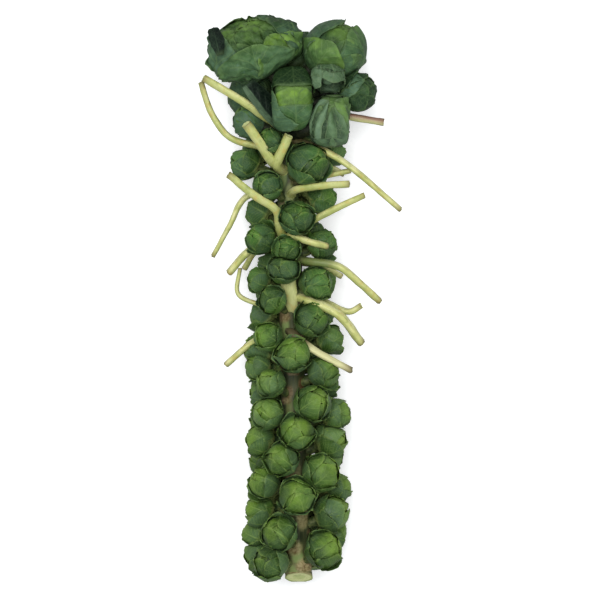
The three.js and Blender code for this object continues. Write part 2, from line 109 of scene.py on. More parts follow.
def smooth_way(spots):
    """Points along the smooth curve that joins a few places on the stalk."""
    points = [place(*spot) for spot in spots]
    ends = [2 * points[0] - points[1], *points, 2 * points[-1] - points[-2]]
    way = []
    for k in range(WAY_STEPS + 1):
        whole = min(int(k * (len(points) - 1) / WAY_STEPS), len(points) - 2)
        share = k * (len(points) - 1) / WAY_STEPS - whole
        p0, p1, p2, p3 = ends[whole:whole + 4]
        d0, d1, d2 = ((b - a).length ** 0.5 for a, b in ((p0, p1), (p1, p2), (p2, p3)))
        leave = ((p1 - p0) / d0 - (p2 - p0) / (d0 + d1) + (p2 - p1) / d1) * d1
        arrive = ((p2 - p1) / d1 - (p3 - p1) / (d1 + d2) + (p3 - p2) / d2) * d1
        bend, turn = 3 * (p2 - p1) - 2 * leave - arrive, 2 * (p1 - p2) + leave + arrive
        way.append(p1 + leave * share + bend * share ** 2 + turn * share ** 3)
    return way


def at_share(way, share):
    """The point at a share of a way's length."""
    lengths = [0.0]
    for a, b in zip(way, way[1:]):
        lengths.append(lengths[-1] + (b - a).length)
    wanted = share * lengths[-1]
    for k in range(1, len(way)):
        if lengths[k] >= wanted:
            part = (wanted - lengths[k - 1]) / max(lengths[k] - lengths[k - 1], 1e-9)
            return way[k - 1].lerp(way[k], part)
    return way[-1].copy()


def cut_stalk(root, tip, *spots, **marks):
    """A leaf stalk: its widths at root and tip, its way from the stem to its cut end, and its age.
    From the root up, rooted is the share that is dry and brown, and the last key the share painted a
    darker green: painted shade where the stalk runs in under the sprouts."""
    plain = dict(flatness=1.0, torn=0.0, cream=0.0, dry=0.0, red=0.0, rooted=-1.0, unripe=-1.0)
    return dict(plain, widths=(root, tip), way=smooth_way(spots), **marks)


LEAF_STALKS = (
    cut_stalk(10, 9, (436, -17, 52), (445, -33, 66), (456, -49, 75), (480, -89, 80)),
    cut_stalk(8, 7, (412, -18, 46), (417, -40, 54), (425, -65, 58), (448, -82, 60), (477, -92, 61)),
    cut_stalk(11, 10.5, (394, -13, 50), (402, -25, 71), (420, -37, 84), (436, -48.5, 91)),
    cut_stalk(10, 9, (391, -12, 50), (398, -20, 70), (411, -15, 80), (425, -8.5, 84)),
    cut_stalk(8, 6, (422, -4, 50), (413, 22, 67), (397, 48.5, 68), (356, 98, 50), rooted=0.22),
    cut_stalk(7, 6, (383, -4, 46), (387, 20, 54), (393, 50, 60)),
    cut_stalk(9, 8, (369, -7, 50), (374, -3, 66), (378, 20, 77), (380, 48.5, 74)),
    cut_stalk(9, 7.5, (338, -2, 48), (346, 14, 61), (358, 38, 70), (369.5, 62.7, 67)),
    cut_stalk(10, 8, (322, -12, 50), (338, -17, 64), (354, -20, 74), (370, -43, 82), (388.5, -65.5, 80)),
    cut_stalk(8, 5, (376, -16, 44), (368, -50, 48), (340, -66, 44), (311.6, -81.7, 36)),
    cut_stalk(9, 7.5, (329, -10, 50), (331, -6, 67), (325, 12, 74), (321, 28, 69)),
    cut_stalk(9, 8, (328, -16, 44), (318, -45, 50), (295.5, -66.5, 44)),
    cut_stalk(7, 7, (323, -14, 38), (317, -40, 35), (300, -52, 28)),
    cut_stalk(6, 4.5, (260, -12, 44), (266, -38, 48), (276, -57, 50), (300, -55, 48)),
    cut_stalk(9, 8, (309, -4, 50), (307, 9, 66), (302, 38, 71), (286, 59, 61), (269, 78, 46),
              unripe=0.36),
    cut_stalk(11, 17, (256, -5, 52), (264, -6, 59), (291, -10, 63), flatness=0.5, torn=1.0, cream=0.2),
    cut_stalk(11, 9.5, (274, -3, 50), (270, 9, 67), (256.5, 38, 69), (229, 60.8, 52)),
    cut_stalk(8, 7, (276, -1, 44), (270, 22, 48), (259, 48.5, 58), (265, 60, 61)),
    cut_stalk(9, 7, (241, -8, 50), (239, -6, 65), (224, 13, 74), (203, 51, 62), cream=0.9, dry=1.0,
              rooted=0.4),
    cut_stalk(8, 7, (240, -14, 44), (231, -41, 48), (208, -69.4, 40)),
    cut_stalk(9, 8, (443, -6, 48), (447, 25, 57), (439, 81.7, 60), red=1.0),
    cut_stalk(8, 7, (307, -2, 40), (303, 22, 30), (293, 42, 22)),
    cut_stalk(8, 7, (376, -14, 40), (386, -34, 31), (396, -50, 24)),
    cut_stalk(8, 7, (404, -4, 40), (402, 22, 30), (391, 44, 22)),
    cut_stalk(8, 7, (234, -10, 40), (229, -30, 30), (220, -46, 23)),
    cut_stalk(8, 7, (332, -8, 40), (324, -5, 22), (312, -3, 8)),
)


def shown_sprout(along, across, radius, under):
    ring, aside = profile(RING_RADII, along), across - AXIS_ACROSS - AXIS_LEAN * along
    rise = math.sqrt(max(0.0, ring * ring - aside * aside))
    height = AXIS_HEIGHT - max(FLANK_DROP, rise) if under else AXIS_HEIGHT + rise
    return dict(along=along, radius=radius, centre=place(along, across, height))


sprouts = [shown_sprout(*row, under=False) for row in UPPER_SPROUTS]
sprouts += [shown_sprout(*row, under=True) for row in FLANK_SPROUTS]
beads = [dict(centre=at_share(stalk["way"], share), radius=BEAD_RADIUS)
         for stalk in LEAF_STALKS for share in BEAD_SHARES]

hidden, k = [], 0
while FIRST_ALONG + RISE * k < LAST_ALONG:
    along, angle = FIRST_ALONG + RISE * k, (FIRST_ANGLE + DIVERGENCE * k) % 360
    if abs(angle - 180) <= HIDDEN_SECTOR:
        radius = HIDDEN_RADIUS - HIDDEN_TAPER * along + HIDDEN_VARIATION * math.sin(VARIATION_PACE * k)
        hidden.append(dict(along=along, radius=radius, centre=ring_centre(along, angle)))
    k += 1
for _ in range(SETTLING_ROUNDS):
    for sprout in hidden:
        push = Vector((0, 0, 0))
        for other in sprouts + beads + hidden:
            away = sprout["centre"] - other["centre"]
            overlap = CROWDING * (sprout["radius"] + other["radius"]) - away.length
            if other is not sprout and overlap > 0:
                push += away.normalized() * (overlap * SETTLING_SHARE)
        moved = sprout["centre"] + push
        sprout["along"] = min(max(moved.y + FOOTPRINT_ALONG, LOWEST_ALONG), LAST_ALONG)
        axis = axis_point(sprout["along"])
        turned = math.degrees(math.atan2(moved.x - axis.x, moved.z - axis.z))
        sprout["centre"] = ring_centre(sprout["along"], turned)
sprouts += hidden

# ==============================
# The stem: a woody green-white cane that tapers to the crown, cut on the slope at its foot, with a
# tan scar under each sprout where a leaf was snapped off. One skin with the scars pressed into it.
STEM_LENGTH, STEM_SIDES, STEM_RINGS = 488.0, 56, 230
STEM_RADII = ((0, 11.6), (70, 12.2), (300, 10.8), (430, 9.8), (488, 8.0))
FOOT_FLARE, FOOT_LENGTH = 1.6, 30.0
CUT_SLANT, SLANT_LENGTH = 0.42, 14.0
SCAR_BELOW, SCAR_WIDE, SCAR_LONG, SCAR_REACH = 17.0, 5.6, 3.0, 1.35
SCAR_AGE = ((0, 1.0), (230, 1.0), (380, 0.3), (488, 0.1))
SCAR_PRESSED, RIM_PLACE, RIM_WIDTH, RIM_RAISED = 0.5, 0.35, 0.14, 0.8
# Marks on the upper side: along, across, half length, half width, and how tan, brown and pale each is.
STEM_MARKS = (
    (190, 5, 5, 4, 0.5, 0.8, 0.0), (182, -8, 5, 3, 0.6, 0.4, 0.0), (166, -8, 10, 3, 0.2, 0.0, 0.6),
    (254, -13, 5, 4, 0.8, 0.3, 0.0), (371, -8, 8, 3.5, 0.3, 0.0, 0.9), (63, 4, 10, 4.5, 0.8, 0.0, 0.6),
    (34, -3, 6, 6, 0.8, 0.0, 0.8), (15, 6, 8, 7, 1.0, 0.0, 0.4), (25, 0, 5, 5, 0.0, 0.0, 1.0),
    (388, -14, 10, 3, 0.0, 0.0, 0.8), (340, -17, 15, 3, 0.0, 0.0, 0.8), (241, -12, 13, 3, 0.0, 0.0, 1.0),
    (108, -2, 8, 4, 0.4, 0.0, 0.4), (8, -7, 9, 6, 0.1, 0.0, 0.9), (1, 1, 4, 13, 0.8, 0.0, 0.6),
)
MARK_REACH, MARK_EDGE = 1.4, 0.5
RIDGE_COUNT, RIDGE_HEIGHT, WANDER_HEIGHT, PROUDEST = 7, 0.35, 0.5, 1.0


def new_object(bm, name, finishes):
    """Makes an object of a finished mesh, at the origin."""
    mesh = bpy.data.meshes.new(name)
    bm.to_mesh(mesh)
    bm.free()
    for finish in finishes:
        mesh.materials.append(finish)
    made = bpy.data.objects.new(name, mesh)
    bpy.context.scene.collection.objects.link(made)
    return made


def finish_piece(bm, name, finishes, cad_node):
    """Turns a piece to metres inside the frame's box, gives it its finishes and sets it in place."""
    bmesh.ops.scale(bm, vec=(0.001, 0.001, 0.001), verts=bm.verts)
    for vert in bm.verts:
        vert.co = [min(max(v, low), high) for v, low, high in zip(vert.co, cad_low, cad_high)]
    for face in bm.faces:
        face.smooth = True
    piece = new_object(bm, name, finishes)
    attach(piece, "root")
    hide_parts(cad_node)


def close_ends(bm, insets):
    """Closes a skin's open ends with cut faces, and works them in and out as a knife leaves them."""
    rims = [edge for edge in bm.edges if edge.is_boundary]
    caps = bmesh.ops.holes_fill(bm, edges=rims, sides=0)["faces"]
    for cap in caps:
        cap.material_index = 1
    for depth, thickness in insets:
        bmesh.ops.inset_region(bm, faces=caps, thickness=thickness, depth=depth, use_even_offset=True)
    return caps


def node(tree, kind, inputs=None, **settings):
    """Adds a shader node, sets its properties, and fills or links its inputs by name or number."""
    made = tree.nodes.new(kind)
    for name, value in settings.items():
        setattr(made, name, value)
    for name, value in (inputs or {}).items():
        if isinstance(value, bpy.types.NodeSocket):
            tree.links.new(value, made.inputs[name])
        else:
            made.inputs[name].default_value = value
    return made


def tint(red, green, blue):
    """A colour given as it is mixed on screen, 0 to 255, turned to the linear light of a shader."""
    return tuple((v / 255 / 12.92) if v < 10.3 else ((v / 255 + 0.055) / 1.055) ** 2.4
                 for v in (red, green, blue))


def ramp(tree, mask, *stops):
    """Colours a mask from stop to stop; each stop is a value of the mask and a screen colour."""
    made = node(tree, "ShaderNodeValToRGB", {"Fac": mask})
    made.color_ramp.elements.remove(made.color_ramp.elements[1])
    for k, (position, colour) in enumerate(stops):
        stop = made.color_ramp.elements[0] if k == 0 else made.color_ramp.elements.new(position)
        stop.position, stop.color = position, (*tint(*colour), 1)
    return made.outputs["Color"]


def mixed(tree, share, first, second, blend="MIX"):
    """Lays a second colour over a first; sockets 0, 6 and 7 are the share and the two colours."""
    inputs = {0: share, 6: first, 7: second}
    inputs = {k: (*value, 1) if isinstance(value, tuple) else value for k, value in inputs.items()}
    return node(tree, "ShaderNodeMix", inputs, data_type="RGBA", blend_type=blend).outputs[2]


def coats(tree, skin, *layers):
    """Lays screen colours over a skin one after another, each by its own share."""
    for share, colour in layers:
        skin = mixed(tree, share, skin, tint(*colour))
    return skin


def maths(tree, operation, *values, clamp=False):
    return node(tree, "ShaderNodeMath", dict(enumerate(values)), operation=operation,
                use_clamp=clamp).outputs[0]


def times(tree, first, second):
    return maths(tree, "MULTIPLY", first, second)


def plus(tree, first, second):
    return maths(tree, "ADD", first, second)


def vector_maths(tree, operation, *values):
    return node(tree, "ShaderNodeVectorMath", dict(enumerate(values)), operation=operation).outputs


def span(tree, value, low, high, to_low=0.0, to_high=1.0):
    """Stretches the part of a value between low and high, softly at both ends."""
    return node(tree, "ShaderNodeMapRange", {"Value": value, "From Min": low, "From Max": high,
                                             "To Min": to_low, "To Max": to_high},
                interpolation_type="SMOOTHSTEP").outputs["Result"]


def mottle(tree, place_, scale, detail=2.0, roughness=0.5):
    return node(tree, "ShaderNodeTexNoise", {"Vector": place_, "Scale": scale, "Detail": detail,
                                             "Roughness": roughness}).outputs[0]


def new_group(name, takes, gives):
    """A shared effect and its ends. Its inputs are vectors, but for those that start as a number."""
    group = bpy.data.node_groups.new(name, "ShaderNodeTree")
    for label, value in takes.items():
        kind = "NodeSocketFloat" if isinstance(value, float) else "NodeSocketVector"
        socket = group.interface.new_socket(label, in_out="INPUT", socket_type=kind)
        if value is not None:
            socket.default_value = value
    for label in gives:
        group.interface.new_socket(label, in_out="OUTPUT", socket_type="NodeSocketFloat")
    return group, group.nodes.new("NodeGroupInput").outputs, group.nodes.new("NodeGroupOutput").inputs


# Fibre: the long broken streaks of a plant's skin, stretched along one axis of a pattern.
fibre, given, wanted = new_group(
    "plant_fibre", {"Pattern": None, "Stretch": (1.0, 1.0, 1.0), "Scale": 10.0}, ("Streaks", "Patches"))
stretched = vector_maths(fibre, "MULTIPLY", given["Pattern"], given["Stretch"])[0]
fibre.links.new(mottle(fibre, stretched, given["Scale"], 4.0, 0.6), wanted["Streaks"])
fibre.links.new(mottle(fibre, given["Pattern"], given["Scale"]), wanted["Patches"])


def fibres(tree, pattern, scale, stretch=(1.0, 1.0, 1.0)):
    """The streaks and the patches of fibre in one finish."""
    return node(tree, "ShaderNodeGroup", {"Pattern": pattern, "Scale": scale, "Stretch": stretch},
                node_tree=fibre).outputs


def new_finish(name, constants):
    """A new finish: its material, its nodes, and the places on the piece that its patterns follow."""
    material = bpy.data.materials.new(name)
    material.use_nodes = True
    tree = material.node_tree
    for label, value in constants.items():
        tree.nodes["Principled BSDF"].inputs[label].default_value = value
    return material, tree, node(tree, "ShaderNodeTexCoord").outputs["Object"]


def lay_on(tree, skin, roughness=None, relief=None, strength=0.5, depth=0.0006):
    """Feeds a finish's colour, roughness and relief to its shader."""
    shader = tree.nodes["Principled BSDF"].inputs
    tree.links.new(skin, shader["Base Color"])
    if roughness is not None:
        tree.links.new(roughness, shader["Roughness"])
    if relief is not None:
        bump = node(tree, "ShaderNodeBump", {"Strength": strength, "Distance": depth, "Height": relief})
        tree.links.new(bump.outputs[0], shader["Normal"])


def attribute(tree, name):
    """The four masks that a piece carries on its points: three as a colour, and one as its alpha."""
    marks = node(tree, "ShaderNodeAttribute", attribute_name=name).outputs
    return (*node(tree, "ShaderNodeSeparateColor", {0: marks["Color"]}).outputs, marks["Alpha"])


def stem_skin_finish():
    material, tree, where = new_finish("stem_skin", {"Specular IOR Level": 0.25})
    tanned, browned, paled, _ = attribute(tree, "scar")
    streaks, patches = fibres(tree, where, 420.0, (1.0, 0.12, 1.0))
    along = node(tree, "ShaderNodeSeparateXYZ", {0: where}).outputs[1]
    skin = ramp(tree, mottle(tree, where, 38.0), (0.3, (32, 42, 20)), (0.5, (54, 62, 32)),
                (0.66, (74, 76, 44)), (0.75, (88, 80, 50)))
    # The second coat turns the upper stem a darker green: partly the younger stem's own colour and partly
    # painted shade where the stem lies deep between the upper heads.
    skin = coats(tree, skin, (span(tree, streaks, 0.42, 0.7, 0.0, 0.22), (104, 104, 64)),
                 (span(tree, along, 0.02, 0.15, 0.0, 0.8), (44, 62, 28)), (paled, (112, 130, 74)))
    tan = ramp(tree, patches, (0.35, (112, 94, 58)), (0.6, (160, 144, 104)))
    skin = coats(tree, mixed(tree, times(tree, tanned, 0.8), skin, tan), (browned, (84, 54, 28)))
    lay_on(tree, skin, span(tree, streaks, 0.3, 0.7, 0.5, 0.68), streaks, 0.5, 0.0006)
    return material


def cut_face_finish(name, ringed):
    """Wet pale flesh; at the foot of the stem it has a green pith and a green rim."""
    material, tree, where = new_finish(name, {"Roughness": 0.62})
    streaks, patches = fibres(tree, where, 900.0)
    flesh = ramp(tree, patches, (0.35, (178, 188, 120)), (0.55, (204, 210, 144)), (0.7, (214, 212, 160)))
    flesh = coats(tree, flesh, (span(tree, streaks, 0.55, 0.75, 0.0, 0.6), (132, 116, 78)))
    if ringed:
        foot = axis_point(0) / 1000
        out = vector_maths(tree, "SUBTRACT", where, (foot.x, 0, foot.z))[0]
        out = vector_maths(tree, "MULTIPLY", out, (1000, 0, 1000))[0]
        far = plus(tree, vector_maths(tree, "LENGTH", out)["Value"], times(tree, patches, 1.6))
        flesh = coats(tree, flesh, (span(tree, far, 7.6, 6.2, 0.0, 0.65), (170, 184, 110)),
                      (span(tree, far, 11.6, 12.8, 0.0, 0.8), (140, 156, 84)))
    lay_on(tree, flesh, relief=streaks, strength=0.6, depth=0.0004)
    return material


stem_skin = stem_skin_finish()
foot_flesh, cut_flesh = cut_face_finish("stem_cut_flesh", True), cut_face_finish("fresh_cut_flesh", False)


def scar_depth(along, angle, radius, sprout):
    """How far inside a sprout's leaf scar a place on the stem's skin lies, and 0 outside it."""
    axis = axis_point(sprout["along"])
    towards = math.atan2(sprout["centre"].x - axis.x, sprout["centre"].z - axis.z)
    aside = (angle - towards + math.pi) % (2 * math.pi) - math.pi
    reach = math.hypot(aside * radius / SCAR_WIDE, (along - sprout["along"] + SCAR_BELOW) / SCAR_LONG)
    return max(0.0, SCAR_REACH - reach)


def mark_share(along, across, mark):
    reach = math.hypot((along - mark[0]) / mark[2], (across - mark[1]) / mark[3])
    return min(1.0, max(0.0, MARK_REACH - reach) / MARK_EDGE)


bm = bmesh.new()
scar_layer = bm.verts.layers.float_color.new("scar")
bmesh.ops.create_grid(bm, x_segments=STEM_SIDES, y_segments=STEM_RINGS, size=1)
for vert in bm.verts:
    angle, along = vert.co.x * math.pi, (vert.co.y + 1) / 2 * STEM_LENGTH
    radius = profile(STEM_RADII, along) + FOOT_FLARE * max(0.0, 1 - along / FOOT_LENGTH)
    scar = max(scar_depth(along, angle, radius, sprout) for sprout in sprouts)
    age = profile(SCAR_AGE, along)
    ring = math.exp(-((scar - RIM_PLACE) / RIM_WIDTH) ** 2) * age
    wander = noise.noise(Vector((math.cos(angle), math.sin(angle), along * 0.05)) * 1.7)
    bulge = RIDGE_HEIGHT * math.sin(RIDGE_COUNT * angle + along * 0.03) + WANDER_HEIGHT * wander
    depth = radius + bulge + RIM_RAISED * ring - SCAR_PRESSED * min(1.0, scar)
    outward = Vector((math.sin(angle), 0, math.cos(angle)))
    across = AXIS_ACROSS + AXIS_LEAN * along + radius * math.sin(angle)
    marks = [(mark_share(along, across, mark), mark) for mark in STEM_MARKS if math.cos(angle) > 0]
    tan, brown, pale = (max((share * mark[k] for share, mark in marks), default=0) for k in (4, 5, 6))
    vert[scar_layer] = (min(1.0, max(1.3 * scar * age, tan)), max(ring * 0.75, brown), pale, 1)
    vert.co = axis_point(along) + outward * min(depth, radius + PROUDEST)
    slant = max(0.0, 1 - along / SLANT_LENGTH)
    vert.co.y += CUT_SLANT * (vert.co.z - AXIS_HEIGHT + STEM_RADII[0][1]) * slant
bmesh.ops.remove_doubles(bm, verts=bm.verts, dist=0.01)
bmesh.ops.poke(bm, faces=close_ends(bm, ((-0.5, 1.1), (0.25, 2.6), (-0.6, 3.4))))
bmesh.ops.recalc_face_normals(bm, faces=bm.faces)
finish_piece(bm, "stem", (stem_skin, foot_flesh), "stem_and_leaf_stalks")

# ==============================
# The leaf stalks: what is left of the leaves, pale and fleshy, hollowed on the upper side, and cut
# or broken off by hand. Each is one swept skin that swells where it leaves the stem.
LEAF_STALK_SIDES, LEAF_STALK_RINGS = 20, 36
CLASP_SHARE, CLASP_SWELL = 0.14, 0.35
CHANNEL_DEPTH, RIB_COUNT, RIB_DEPTH, KNOT_DEPTH = 0.3, 9, 0.05, 0.12
ROUND_FLATNESS, RAGGED_FROM, RAGGED_LENGTH, TORN_LENGTH = 0.9, 0.9, 0.9, 6
DRY_FROM, DRY_OVER, TIP_FROM, TIP_OVER, ROOT_OVER, SHADE_FADE_OVER = 0.84, 0.14, 0.92, 0.08, 0.12, 0.15


def leaf_stalk_finish():
    material, tree, where = new_finish("leaf_stalk_skin", {})
    creamy, blushed, dried, ripe = attribute(tree, "ageing_and_shade")
    along = node(tree, "ShaderNodeUVMap", uv_map="skin").outputs[0]
    streaks = fibres(tree, along, 7.0, (9.0, 0.7, 1.0))["Streaks"]
    broad, blotch = mottle(tree, where, 90.0, 3.0), mottle(tree, where, 150.0, 4.0)
    skin = ramp(tree, broad, (0.3, (172, 178, 98)), (0.5, (206, 206, 130)), (0.72, (226, 222, 162)))
    around = node(tree, "ShaderNodeSeparateXYZ", {0: along}).outputs[0]
    aside = maths(tree, "ABSOLUTE", maths(tree, "SUBTRACT", around, 0.5))
    # Painted light along the stalk: the pale stripe down the top is a painted highlight, and the greener
    # sides are painted shade.
    skin = coats(tree, skin, (span(tree, aside, 0.03, 0.12, 0.45, 0.0), (236, 232, 184)),
                 (span(tree, aside, 0.16, 0.3, 0.0, 0.55), (152, 164, 88)),
                 (span(tree, blotch, 0.54, 0.7, 0.0, 0.6), (190, 166, 84)),
                 (span(tree, blotch, 0.44, 0.3, 0.0, 0.4), (118, 134, 66)),
                 (creamy, (216, 212, 160)), (blushed, (150, 108, 96)),
                 (span(tree, streaks, 0.4, 0.68, 0.0, 0.4), (128, 140, 76)),
                 (span(tree, ripe, 0.0, 1.0, 0.8, 0.0), (74, 96, 44)))
    skin = mixed(tree, dried, skin, ramp(tree, dried, (0.5, (112, 88, 54)), (0.88, (62, 50, 26))))
    lay_on(tree, skin, span(tree, broad, 0.3, 0.7, 0.42, 0.58), streaks, 0.45, 0.0005)
    return material


def sweep_leaf_stalk(bm, stalk, number):
    """Lays one skin round a leaf stalk's way, channelled above and ragged at its cut end."""
    ageing_and_shade, way = bm.verts.layers.float_color["ageing_and_shade"], stalk["way"]
    verts = bmesh.ops.create_grid(bm, x_segments=LEAF_STALK_SIDES, y_segments=LEAF_STALK_RINGS, size=1,
                                  calc_uvs=True)["verts"]
    length = sum((b - a).length for a, b in zip(way, way[1:]))
    torn, flatness, red = stalk["torn"], stalk["flatness"], stalk["red"]
    frames, upward = [], Vector((0, 1, 0.4))
    for ring in range(LEAF_STALK_RINGS + 1):
        share = ring / LEAF_STALK_RINGS
        ahead = at_share(way, min(1, share + 0.02)) - at_share(way, max(0, share - 0.02))
        ahead.normalize()
        upward = (upward - ahead * upward.dot(ahead)).normalized()
        frames.append((at_share(way, share), ahead, upward.copy(), ahead.cross(upward)))
    for vert in verts:
        angle, share = vert.co.x * math.pi, (vert.co.y + 1) / 2
        middle, ahead, above, aside = frames[round(share * LEAF_STALK_RINGS)]
        radius = (stalk["widths"][0] * (1 - share) + stalk["widths"][1] * share) / 2
        radius *= 1 + CLASP_SWELL * max(0.0, 1 - share / CLASP_SHARE) ** 2
        channel = CHANNEL_DEPTH * max(0.0, math.cos(angle)) ** 3
        ribs = RIB_DEPTH * math.cos(RIB_COUNT * angle)
        knots = KNOT_DEPTH * noise.noise(Vector((share * length * 0.12, number * 3.1, math.sin(angle))))
        reach = radius * (1 - channel + ribs + knots)
        spot = middle + aside * (math.sin(angle) * reach)
        spot += above * (math.cos(angle) * reach * (flatness if flatness < 1 else ROUND_FLATNESS))
        ragged = noise.noise(Vector((math.cos(angle), math.sin(angle), number)) * (1.5 + 2 * torn))
        pulled = ragged * (RAGGED_LENGTH + TORN_LENGTH * torn) - 1.2 * torn
        spot += ahead * max(0.0, share - RAGGED_FROM) * 10 * pulled
        dry = stalk["dry"] * max(0.0, min(1.0, (share - DRY_FROM) / DRY_OVER)) * 0.8
        tip = max(0.0, min(1.0, (share - TIP_FROM) / TIP_OVER)) * (0.55 + 0.5 * ragged)
        blush = red * min(1.0, max(0.0, 0.45 + 0.9 * math.cos(angle)))
        old_root = max(0.0, min(0.9, (stalk["rooted"] + 0.08 - share) / ROOT_OVER))
        # From the root up to the last key's share the stalk is painted a darker green: painted shade where
        # it runs in under the sprouts.
        ripe = max(0.0, min(1.0, (share - stalk["unripe"]) / SHADE_FADE_OVER))
        vert[ageing_and_shade] = (max(stalk["cream"], red * 0.5), blush, max(dry, tip, old_root), ripe)
        vert.co = spot
    bmesh.ops.remove_doubles(bm, verts=verts, dist=0.005)
    close_ends(bm, ((-0.15, 0.5), (-0.35, 0.8)))


leaf_stalk_skin = leaf_stalk_finish()
bm = bmesh.new()
bm.loops.layers.uv.new("skin")
bm.verts.layers.float_color.new("ageing_and_shade")
for number, stalk in enumerate(LEAF_STALKS):
    sweep_leaf_stalk(bm, stalk, number)
bmesh.ops.recalc_face_normals(bm, faces=bm.faces)
bmesh.ops.triangulate(bm, faces=[face for face in bm.faces if len(face.verts) > 4])
finish_piece(bm, "leaf_stalks", (leaf_stalk_skin, cut_flesh), "stem_and_leaf_stalks")

# ==============================
# The sprouts: tight round buds of wrapped leaves, each on a short pale stub. Every leaf is a thin
# shell of its own, laid over the ones before it, pressed flat where two sprouts meet.
SPROUT_BACK, LOWEST_SEAT, STUB_SHARE = 15.0, 19.0, 0.3
SPROUT_LEAF_COUNT, INNER_LEAF_COUNT, TURN_OF_LEAVES = 8, 4, 137.5
SHOWN_FULLNESS, HIDDEN_FULLNESS, GROWN = 1.05, 1.18, 1.08
LUMPS, LUMP_SCALE, FLARE = 0.06, 1.9, 0.34
HEART_LAYER, STUB_SIDES, STUB_START = 0.8, 14, 0.3
SHOWN_COLLARS, HIDDEN_COLLARS, COLLAR_COLUMNS, COLLAR_ROWS = 3, 2, 12, 9
CROWN_LUMPS, CROWN_STUB, FIRST_CROWN_SEED = 0.04, 6.5, 900
SPIN_STEP, CROWN_SPIN_STEP = 1.7, 2.3
NARROW_PLACES = {21: 0.88, 23: 0.95}
DULL_PLACES = {0: 0.9, 2: 0.4, 5: 0.3, 8: 0.5, 11: 0.2, 14: 0.3, 16: 0.4, 18: 0.3, 19: 0.3, 21: 0.4,
               22: 0.8, 25: 1.0, 26: 0.6, 27: 0.4, 29: 0.6, 31: 0.6, 32: 0.4, 34: 0.5,
               10: -0.3, 23: -0.2, 24: -0.3}
LEAF_THICKNESS, TUCK, CROWDED_MIDDLE = 0.55, 16.0, 1.35
FOOT_WIDTH, FOOT_SPREAD, WIDEST, TIP_SPAN, SIDES_DRAWN_BACK = 0.4, 2.2, 0.5, 0.53, 0.08
MIDRIB_WIDTH, SIDE_RIB_HEIGHT, SIDE_RIB_SLANT, SIDE_RIB_PACE = 0.07, 0.35, 0.4, 50
CRUMPLE_PACE, PUCKER_PACE, FOLD_PAINTED_LIGHT = 2.2, 3.6, 6
PRESS_SOFTNESS, LEAST_REACH = 18, 0.45
NEIGHBOUR_REACH, NEAR_WALL, STALK_CLEARANCE = 30.0, 1.4, 0.3
MOST_NODES, OTHER_NODES, BOX_GAP = 59, 2, 0.3
STALK_SPACING, STALK_NARROWING, STALK_NEAR = 5, 0.9, 8
PLAIN_HEAD = dict(push=1.0, squareness=2.0, flats=())


def crown_head(crown, at, radii, tip, root, **more):
    """A head of the crown: its place, its radii, where its tip points, and where it is rooted."""
    return dict(dict(PLAIN_HEAD, **more), crown=crown, centre=place(*at), radii=Vector(radii),
                tip=Vector(tip).normalized(), seat=axis_point(root), lumps=CROWN_LUMPS, stub=CROWN_STUB)


# The crown's heads stand here because the sprouts press on them; a flat is a side and how far it lies.
CROWN_HEADS = (
    crown_head("terminal_head", (508.5, -39.5, 57), (42.5, 30.2, 31), (-0.3, 0.7, 0.65), 470,
               squareness=2.6, flats=(((-0.6, 0.8, 0), 36.5), ((0.52, -0.85, 0), 26.3),
                                      ((0, 0.78, 0.62), 30.5), ((0, 0.8, -0.6), 31.0))),
    crown_head("round_head", (507, 35.5, 60), (29, 27, 28), (0.45, 0.6, 0.66), 470),
    crown_head("front_head", (460, -5, 79.5), (17.5, 28, 19.5), (0.05, 0.5, 0.86), 440,
               squareness=4.0, push=1.4, flats=(((0, 0.71, 0.71), 23.0), ((0, -0.71, 0.71), 24.0))),
    crown_head("side_head", (467, 56.5, 60), (18, 18, 18), (0.8, 0.4, 0.45), 450),
    crown_head("leafy_head", (441, 29.5, 76), (17, 24.5, 19), (0.05, 0.75, 0.66), 425,
               squareness=3.6, push=1.15, flats=(((0, 0.71, 0.71), 22.5), ((0, -0.71, 0.71), 22.0))),
    crown_head("small_fold", (477.5, 28, 83), (15.5, 14, 12), (0.2, -0.7, 0.68), 455,
               squareness=2.6, push=1.15),
    crown_head("left_head", (440, -47, 53), (15, 16, 15), (-0.75, 0.4, 0.52), 425),
    crown_head("under_middle", (500, 0, 24), (26, 26, 25.5), (0.1, 0.7, -0.7), 465),
    crown_head("under_left", (467, -44, 20.5), (24, 22, 22), (-0.6, 0.4, -0.69), 440),
    crown_head("under_right", (464, 22, 19), (20, 19, 20.5), (0.55, 0.4, -0.73), 440),
)

heads = []
for number, sprout in enumerate(sprouts):
    foot, shown = axis_point(sprout["along"] - SPROUT_BACK), number < len(sprouts) - len(hidden)
    fullness = (SHOWN_FULLNESS if shown else HIDDEN_FULLNESS) * NARROW_PLACES.get(number, 1)
    heads.append(dict(
        PLAIN_HEAD, centre=sprout["centre"], shown=shown, lumps=LUMPS, size=sprout["radius"], mate=None,
        radii=Vector((1, 1, 1)) * sprout["radius"] * fullness,
        tip=(sprout["centre"] - foot).normalized(), stub=sprout["radius"] * STUB_SHARE,
        seat=axis_point(max(sprout["along"] - SPROUT_BACK, LOWEST_SEAT)), spin=number * SPIN_STEP,
        seed=number))
for number, head in enumerate(CROWN_HEADS):
    head["spin"], head["seed"] = number * CROWN_SPIN_STEP, FIRST_CROWN_SEED + number
    heads.append(head)


def full_reach(head, direction):
    """How far a head would reach if nothing pressed on it, larger where it pushes its neighbours."""
    return Vector(a * b for a, b in zip(head["radii"], direction)).length * head["push"]


